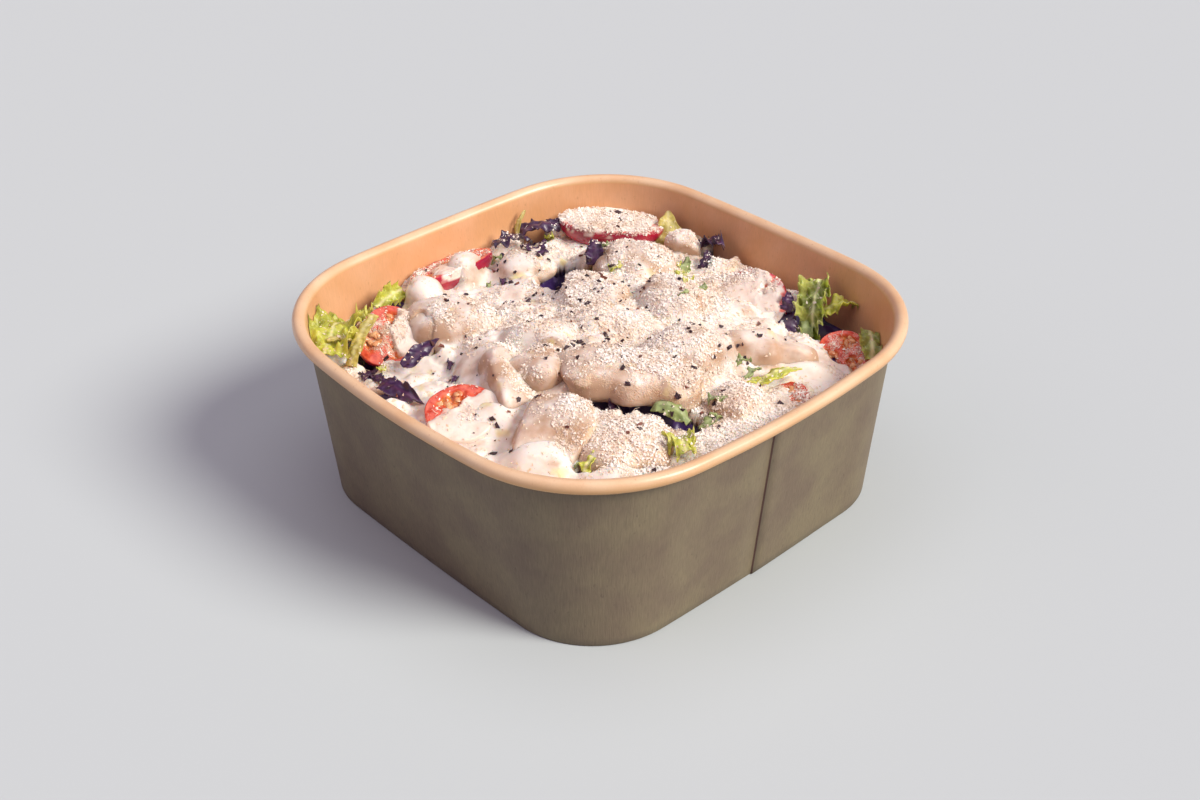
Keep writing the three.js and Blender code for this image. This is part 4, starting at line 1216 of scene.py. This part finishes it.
# Kind, node, offset from its middle, length and width, yaw and pitch in degrees, and lift.
SCRAPS = [
    ("red", "red_leaf_left_far", (3, -4), (7, 5), (60, 30), 0.8),
    ("dark", "red_leaf_left_far", (1, -8), (6, 3.5), (20, 40), 0.8),
    ("red", "pasta_far_left", (-4, 4), (7, 3.5), (-20, 10), 0.3),
    ("red", "pasta_far_left", (1, 6), (6, 3), (40, 15), 0.3),
    ("dark", "pasta_far_left", (-6, 10), (6, 4), (80, 25), 0.8),
    ("red", "red_leaf_far", (8, -6), (9, 6), (110, 35), 1.0),
    ("green", "red_leaf_far", (5, 1), (6, 4), (-30, 40), 1.0),
    ("stalk", "red_leaf_far", (-5, -4), (9, 2.6), (100, 55), 2),
    ("red", "pasta_far_left", (2, -12), (6, 2.6), (-40, 10), 0.1),
    ("dark", "pasta_far_left", (-2, -15), (5, 2), (-30, 15), 0.1),
    ("green", "pasta_far_slope", (2, -10), (5, 3), (60, 20), 0.4),
    ("dark", "pasta_far_slope", (-10, -4), (5, 3), (10, 10), 0.1),
    ("green", "pasta_far_slope", (10, 12), (6, 3), (-40, 20), 0.5),
    ("green", "pasta_far_slope", (14, 8), (5, 2.6), (10, 20), 0.5),
    ("dark", "pasta_far_slope", (8, 18), (8, 5), (120, 35), 0.8),
    ("red", "pasta_far_slope", (12, 24), (8, 5), (110, 40), 0.8),
    ("green", "pasta_top_right", (-8, 16), (6, 3.4), (30, 20), 0.6),
    ("green", "pasta_top_right", (-4, 12), (6, 3), (-60, 20), 0.5),
    ("dark", "pasta_top_right", (2, 11), (5, 2.6), (50, 20), 0.4),
    ("green", "pasta_top_right", (-5, 9), (5, 2.6), (20, 15), 0.3),
    ("green", "pasta_top_right", (0, 6), (4, 2.2), (-50, 15), 0.3),
    ("dark", "pasta_top_right", (5, 0), (4, 2), (70, 15), 0.1),
    ("green", "pasta_top_right", (-10, 12), (4, 2.4), (100, 20), 0.4),
    ("dark", "tomato_far_corner", (8, -14), (5, 3), (60, 10), 0.1),
    ("red", "chicken_peak", (-24, 9), (14, 12), (137, 48), 5),
    ("dark", "chicken_peak", (-18, 2), (8, 5), (120, 20), 3),
    ("red", "chicken_peak", (-24, 24), (9, 8), (137, 45), 3),
    ("red", "tomato_right_far", (15, 2), (10, 8), (120, 45), 0),
    ("dark", "lettuce_right", (2, -8), (10, 7), (130, 40), 0),
    ("red", "lettuce_right", (6, -10), (9, 7), (140, 30), 0),
    ("green", "lettuce_right", (9, -12), (9, 5), (-60, 35), 0.5),
    ("green", "lettuce_right", (7, 5), (13, 7), (47, 10), 12),
    ("red", "lettuce_right", (-6, -8), (7, 5), (120, 50), 0.5),
    ("dark", "lettuce_tongue", (-11, -6), (8, 3), (50, 10), 0.3),
    ("dark", "lettuce_tongue", (-8, -3), (7, 2.6), (80, 15), 0.3),
    ("green", "lettuce_tongue", (-3, -8), (5, 3), (40, 20), 0.5),
    ("red", "chicken_left_near", (-26, -1), (6, 3), (-50, 12), 0.2),
    ("red", "chicken_left_near", (-17, -6), (5, 2.4), (-70, 12), 0.1),
    ("red", "lettuce_stem_left", (9, -4), (8, 4), (20, 25), 0.5),
    ("red", "lettuce_stem_left", (13, -8), (7, 4), (-40, 20), 0.5),
    ("green", "lettuce_stem_left", (15, -3), (4, 3), (0, 20), 0.6),
    ("dark", "lettuce_near_right", (4, 3), (8, 4.5), (60, 20), 0.4),
    ("red", "chicken_top_strip", (3, -11), (12, 6), (128, 40), 1),
    ("red", "chicken_top_strip", (11, -4), (9, 5), (128, 40), 0),
    ("dark", "pasta_near_right_wall", (-2, -6), (6, 3), (30, 15), 0.3),
    ("stalk", "lettuce_stem_left", (-1, -7), (9, 3), (60, -10), 0.3),
    ("red", "red_leaf_rim", (-12, 2), (8, 4), (-10, 10), 0.3),
    ("green", "chicken_near_right", (0, -14), (7, 4), (100, 30), 0.5),
    ("dark", "chicken_near_right", (-4, -15), (6, 3), (60, 20), 0.4),
]
SCRAP_SKINS = {"red": (leaf_red, "red_leaf"), "dark": (leaf_dark_green, "green_leaf"),
               "green": (leaf_green, "green_leaf"), "stalk": (leaf_stalk, "green_leaf")}
salad = landing_surface()
for kind, (skin, slot) in SCRAP_SKINS.items():
    bits, bit_faces, veins, edges, start = [], [], [], [], 0
    for seed, (what, node_name, offset, (length, width), (yaw, pitch), lift) in enumerate(SCRAPS):
        if what == kind:
            curly = 0.15 if kind == "stalk" else 1.0
            points, faces, marks = leaf_sheet(length, width, 0.13 * length * curly, 1.1, 0.12 * length, 0.3,
                                              crinkle=0.4 * curly, rib=0.3, seed=seed + 40,
                                              along=26, across=10)
            spot = fall(salad, np.array([middle(node_name)[:2] + offset]))[0][0]
            bits.append(keep_in_bowl(turned(points, (yaw, -pitch, 0)) + spot + (0, 0, lift)))
            bit_faces.append(faces + start)
            veins.append(marks["vein"])
            edges.append(marks["edge"])
            start += len(points)
    marks = {"vein": np.concatenate(veins), "edge": np.concatenate(edges)}
    points, faces = np.concatenate(bits), np.concatenate(bit_faces)
    make_piece("leaf_scraps_" + kind, points, faces, [skin], slot, marks=marks)

topped_salad = landing_surface()  # what the cheese and the pepper fall on, without the loose seeds


def lying(draw, normals, tilt):
    """Random rotations whose Z is near each normal, as an array of matrices."""
    up = normals + draw.normal(0, tilt, normals.shape)
    up /= np.linalg.norm(up, axis=1)[:, None]
    along = np.cross(up, draw.normal(size=normals.shape))
    along /= np.linalg.norm(along, axis=1)[:, None]
    return np.stack([along, np.cross(up, along), up], -1)


def strewn(name, bits, bit_faces, spins, centres, material, slot, tints):
    """One joined piece from bits, an array of each bit's own points, each turned and moved to its place."""
    count, corners = bits.shape[:2]
    points = np.einsum("nij,nkj->nki", spins, bits) + centres[:, None, :]
    points = keep_in_bowl(points.reshape(-1, 3))
    points[:, 2] = np.minimum(points[:, 2], cad_box[1][2] / METRES - 0.05)
    faces = bit_faces[None] + np.arange(count)[:, None, None] * corners
    make_piece(name, points, faces.reshape(-1, bit_faces.shape[1]), [material], slot,
               marks={"tint": np.repeat(tints, corners)}, smooth=False)


def seed_material():
    material, tree, bsdf = new_material("tomato_seed", Roughness=0.3, Coat_Weight=0.6, Coat_Roughness=0.15)
    place = add_node(tree, "TexCoord").outputs["Object"]
    patches = ramp(tree, noise(tree, place, 0.6, 2.0), 0.3, 0.7, -0.3, 0.3)
    shade = calc(tree, "ADD", mark(tree, "tint"), patches)
    connect(tree, bsdf, blend(tree, shade, colour("e8b684"), colour("d8804e")))
    return material


SEED_ROWS, SEED_COLUMNS = 7, 10
SEED_HALVES = (1.3, 0.8, 0.45)
draw = np.random.default_rng(811)
seed_places = np.array(seed_places)
seed_bit = all_ways(SEED_ROWS, SEED_COLUMNS, 0.1) * SEED_HALVES
seed_bit[:, 1] *= 1 - 0.35 * seed_bit[:, 0] / SEED_HALVES[0]
seed_bits = seed_bit * draw.uniform(0.8, 1.1, (len(seed_places), 1, 1))
seed_centres = seed_places[:, :3] + 0.25 * seed_places[:, 3:]
strewn("tomato_seeds", seed_bits, ring_faces(SEED_ROWS, SEED_COLUMNS), lying(draw, seed_places[:, 3:], 0.25),
       seed_centres, seed_material(), "tomato", draw.random(len(seed_places)))

# ---------------------------------------------------------------------------------------------------
# Grated hard cheese: fine crumbs, and longer shreds from the grater's coarser side. It was strewn from
# above and lies where it fell, thickest on what faces up.
# ---------------------------------------------------------------------------------------------------


def drop_places(draw, count):
    """Random places over the bowl's mouth, clear of its wall."""
    places = draw.uniform(-COAT_REACH, COAT_REACH, (count, 2))
    limit = inner_wall_radius(places[:, 0], places[:, 1], SALAD_LEVEL) - 0.8
    return places[np.hypot(places[:, 0], places[:, 1]) < limit]


def cheese_material():
    material, tree, bsdf = new_material("grated_cheese", Roughness=0.7, Specular_IOR_Level=0.3)
    place = add_node(tree, "TexCoord").outputs["Object"]
    patches = ramp(tree, noise(tree, place, 0.5, 2.0), 0.3, 0.7, -0.2, 0.2)
    shade = calc(tree, "ADD", mark(tree, "tint"), patches)
    grain = blend(tree, shade, colour("fffbf6"), colour("ead6be"))
    soaked = place_effect(tree, BEIGE_PATCHES, {"Most": 0.4})["Mask"]
    connect(tree, bsdf, blend(tree, soaked, grain, colour("dcb68c")))
    return material


CHEESE = cheese_material()
TETRAHEDRON = np.array([(1, 1, 1), (1, -1, -1), (-1, 1, -1), (-1, -1, 1)], float)
TETRAHEDRON_FACES = np.array([(0, 1, 2), (0, 3, 1), (0, 2, 3), (1, 3, 2)])
CRUMB_DROPS, CRUMBS = 150000, 48000  # tried, and kept at most
points, normals, hold = fall(topped_salad, drop_places(draw, CRUMB_DROPS))
cover = cheese_cover(points)
closed = 1 - np.clip(gap_at(points[:, 0], points[:, 1])[0] + 0.4, 0, 0.92)
chance = (cover**1.6 * 0.9 + 0.03) * np.clip((normals[:, 2] - 0.15) / 0.5, 0, 1) * hold * closed
kept = np.flatnonzero(draw.random(len(points)) < chance)[:CRUMBS]
many = len(kept)
points, normals, cover = points[kept], normals[kept], cover[kept, None]
sizes = draw.uniform(0.25, 0.55, (many, 1, 1)) ** 2 * draw.uniform(0.6, 1.5, (many, 1, 3))
bits = TETRAHEDRON * sizes * (1.3, 1.3, 0.45) * draw.uniform(0.7, 1.3, (many, 4, 1))
piled = points + normals * (0.05 + draw.uniform(0, 0.4, (many, 1)) * cover**3)
strewn("cheese_crumbs", bits, TETRAHEDRON_FACES, lying(draw, normals, 0.4), piled, CHEESE, "cheese",
       0.4 * draw.random(many) + 0.8 * (1 - cover[:, 0]))

SHRED_DROPS, SHREDS = 26000, 5000
SHRED_RINGS, SHRED_SIDES = 3, 3
points, normals, hold = fall(topped_salad, drop_places(draw, SHRED_DROPS))
chance = (cheese_cover(points) ** 2 * 0.8 + 0.02) * np.clip((normals[:, 2] - 0.2) / 0.4, 0, 1) * hold
kept = np.flatnonzero(draw.random(len(points)) < chance)[:SHREDS]
points, normals = points[kept], normals[kept]
many = len(kept)
t = np.linspace(-1, 1, SHRED_RINGS)[None, :, None]
corner = np.array([0, 2, 4])[None, None, :] * math.pi / 3
length = draw.uniform(0.4, 1.0, (many, 1, 1)) ** 3 * 1.7
girth = draw.uniform(0.06, 0.13, (many, 1, 1)) * (1 - 0.6 * t**2)
bow = draw.uniform(-0.35, 0.6, (many, 1, 1)) * length * (1 - t**2)
across = girth * np.cos(corner) + 0.5 * bow
bits = np.stack([length * t + 0 * corner, across, girth * np.sin(corner) * 0.7 + 0.5 * bow], -1)
sides = ring_faces(SHRED_RINGS, SHRED_SIDES)
shred_faces = np.concatenate([sides[:, [0, 1, 2]], sides[:, [0, 2, 3]], [(2, 1, 0), (6, 7, 8)]])
strewn("cheese_shreds", bits.reshape(many, -1, 3), shred_faces, lying(draw, normals, 0.6),
       points + 0.25 * normals, CHEESE, "cheese", draw.random(many))

# ---------------------------------------------------------------------------------------------------
# Cracked black pepper: chips of dark husk, and paler bits of kernel, most of them in loose clusters.
# ---------------------------------------------------------------------------------------------------

# Node, offset from its middle, spread, and the number of bits.
PEPPER_CLUSTERS = [
    ("pasta_top_left", (2, 9), 4, 16), ("pasta_right_mid", (-4, 4), 5, 16),
    ("pasta_top_right", (-6, -8), 8, 26), ("chicken_peak", (-4, -8), 9, 30),
    ("pasta_far_left", (2, -4), 9, 26), ("pasta_left_slope", (-4, 10), 9, 18),
    ("chicken_near", (-2, 2), 7, 9), ("lettuce_near_right", (0, 5), 6, 20),
    ("chicken_near_right", (6, 4), 7, 12), ("tomato_near", (12, 2), 6, 12),
    ("lettuce_tongue", (-8, -6), 6, 14), ("pasta_far_slope", (2, 0), 10, 26),
    ("tomato_far_corner", (0, 0), 10, 12), ("chicken_top_strip", (-3, 4), 11, 24),
    ("chicken_right", (-6, 0), 7, 10), ("red_leaf_blade", (9, 0), 7, 12),
    ("salad_bed", (0, 0), 38, 110), ("chicken_peak", (22, -14), 3, 10),
]


def pepper_material():
    material, tree, bsdf = new_material("cracked_pepper", Roughness=0.55)
    place = add_node(tree, "TexCoord").outputs["Object"]
    patches = ramp(tree, noise(tree, place, 0.4, 2.0), 0.4, 0.6)
    husk = blend(tree, patches, colour("281820"), colour("442c34"))
    kernel = ramp(tree, mark(tree, "tint"), 0.8, 0.9)
    connect(tree, bsdf, blend(tree, kernel, husk, colour("7a4436")))
    return material


CUBE = np.array([(x, y, z) for x in (-1, 1) for y in (-1, 1) for z in (-1, 1)], float)
CUBE_FACES = np.array([(0, 1, 3, 2), (4, 6, 7, 5), (0, 4, 5, 1), (2, 3, 7, 6), (0, 2, 6, 4), (1, 5, 7, 3)])
places = []
for node_name, offset, spread, count in PEPPER_CLUSTERS:
    places.append(middle(node_name)[:2] + offset + draw.normal(0, spread, (count, 2)))
points, normals, _ = fall(topped_salad, np.concatenate(places))
inside = np.hypot(points[:, 0], points[:, 1]) < inner_wall_radius(points[:, 0], points[:, 1], SALAD_LEVEL) - 1
points, normals = points[inside], normals[inside]
many = len(points)
sizes = draw.uniform(0.35, 1.0, (many, 1, 1)) ** 2 * draw.uniform(0.6, 1.0, (many, 1, 3)) * 1.35
bits = CUBE * sizes * (1, 0.66, 0.42) * draw.uniform(0.2, 1.35, (many, 8, 3))
strewn("cracked_pepper", bits, CUBE_FACES, lying(draw, normals, 0.35), points + 0.3 * normals,
       pepper_material(), "pepper", draw.random(many))

# ---------------------------------------------------------------------------------------------------
# The studio: a plain pale floor, a large warm light from the right and above, a soft one from straight
# above, a weak pinkish one from the left front, a faint purple sky, and the camera.
# ---------------------------------------------------------------------------------------------------

FLOOR_HALF = 20000
FLOOR_TINT = (0.53, 0.586, 0.597, 1)
corners = np.array([(-1, -1, 0), (1, -1, 0), (1, 1, 0), (-1, 1, 0)]) * FLOOR_HALF
floor_paper, _, floor_bsdf = new_material("floor_paper", Roughness=0.9, Specular_IOR_Level=0.1)
floor_bsdf.inputs["Base Color"].default_value = FLOOR_TINT
floor = make_piece("floor", corners, np.array([[0, 1, 2, 3]]), [floor_paper], None)


def sun(name, direction, strength, tint, width):
    """A distant soft light that shines from the given direction."""
    light = bpy.data.lights.new(name, "SUN")
    light.energy, light.color, light.angle = strength, tint, math.radians(width)
    holder = bpy.data.objects.new(name, light)
    holder.rotation_mode = "QUATERNION"
    holder.rotation_quaternion = Vector(direction).to_track_quat("Z", "Y")
    bpy.context.scene.collection.objects.link(holder)


sun("key_light", (1.15, 0.46, 1.02), 3.8, (1.0, 0.94, 0.86), 26)
sun("top_light", (0.0, 0.0, 1.0), 0.95, (1.0, 0.96, 0.93), 60)
sun("fill_light", (-0.5, -1.0, 0.9), 0.4, (1.0, 0.84, 0.84), 50)
world = bpy.data.worlds.new("studio")
world.use_nodes = True
sky = world.node_tree.nodes["Background"]
sky.inputs["Color"].default_value = (0.80, 0.46, 1.0, 1)
sky.inputs["Strength"].default_value = 0.15
bpy.context.scene.world = world
bpy.context.scene.view_settings.view_transform = "Standard"

CAMERA_AZIMUTH, CAMERA_ELEVATION = math.radians(47.45), math.radians(32.7)
CAMERA_ROLL = math.radians(-0.67)
CAMERA_DISTANCE = 547.2  # from a point on the bowl's axis, at the first of these heights
ORBIT_HEIGHT, AIM_HEIGHT = 33, 29.4
FOCAL_LENGTH, SENSOR_WIDTH = 49.67, 36
east, south = math.sin(CAMERA_AZIMUTH), math.cos(CAMERA_AZIMUTH)
level_way = math.cos(CAMERA_ELEVATION)
way = Vector((east * level_way, -south * level_way, math.sin(CAMERA_ELEVATION)))
lens = bpy.data.cameras.new("camera")
lens.lens, lens.sensor_width, lens.clip_start = FOCAL_LENGTH, SENSOR_WIDTH, 0.01
camera = bpy.data.objects.new("camera", lens)
camera.rotation_mode = "QUATERNION"
camera.location = way * CAMERA_DISTANCE * METRES + Vector((0, 0, ORBIT_HEIGHT)) * METRES
backwards = camera.location - Vector((0, 0, AIM_HEIGHT)) * METRES
camera.rotation_quaternion = backwards.to_track_quat("Z", "Y") @ Quaternion((0, 0, 1), CAMERA_ROLL)
bpy.context.scene.collection.objects.link(camera)
bpy.context.scene.camera = camera
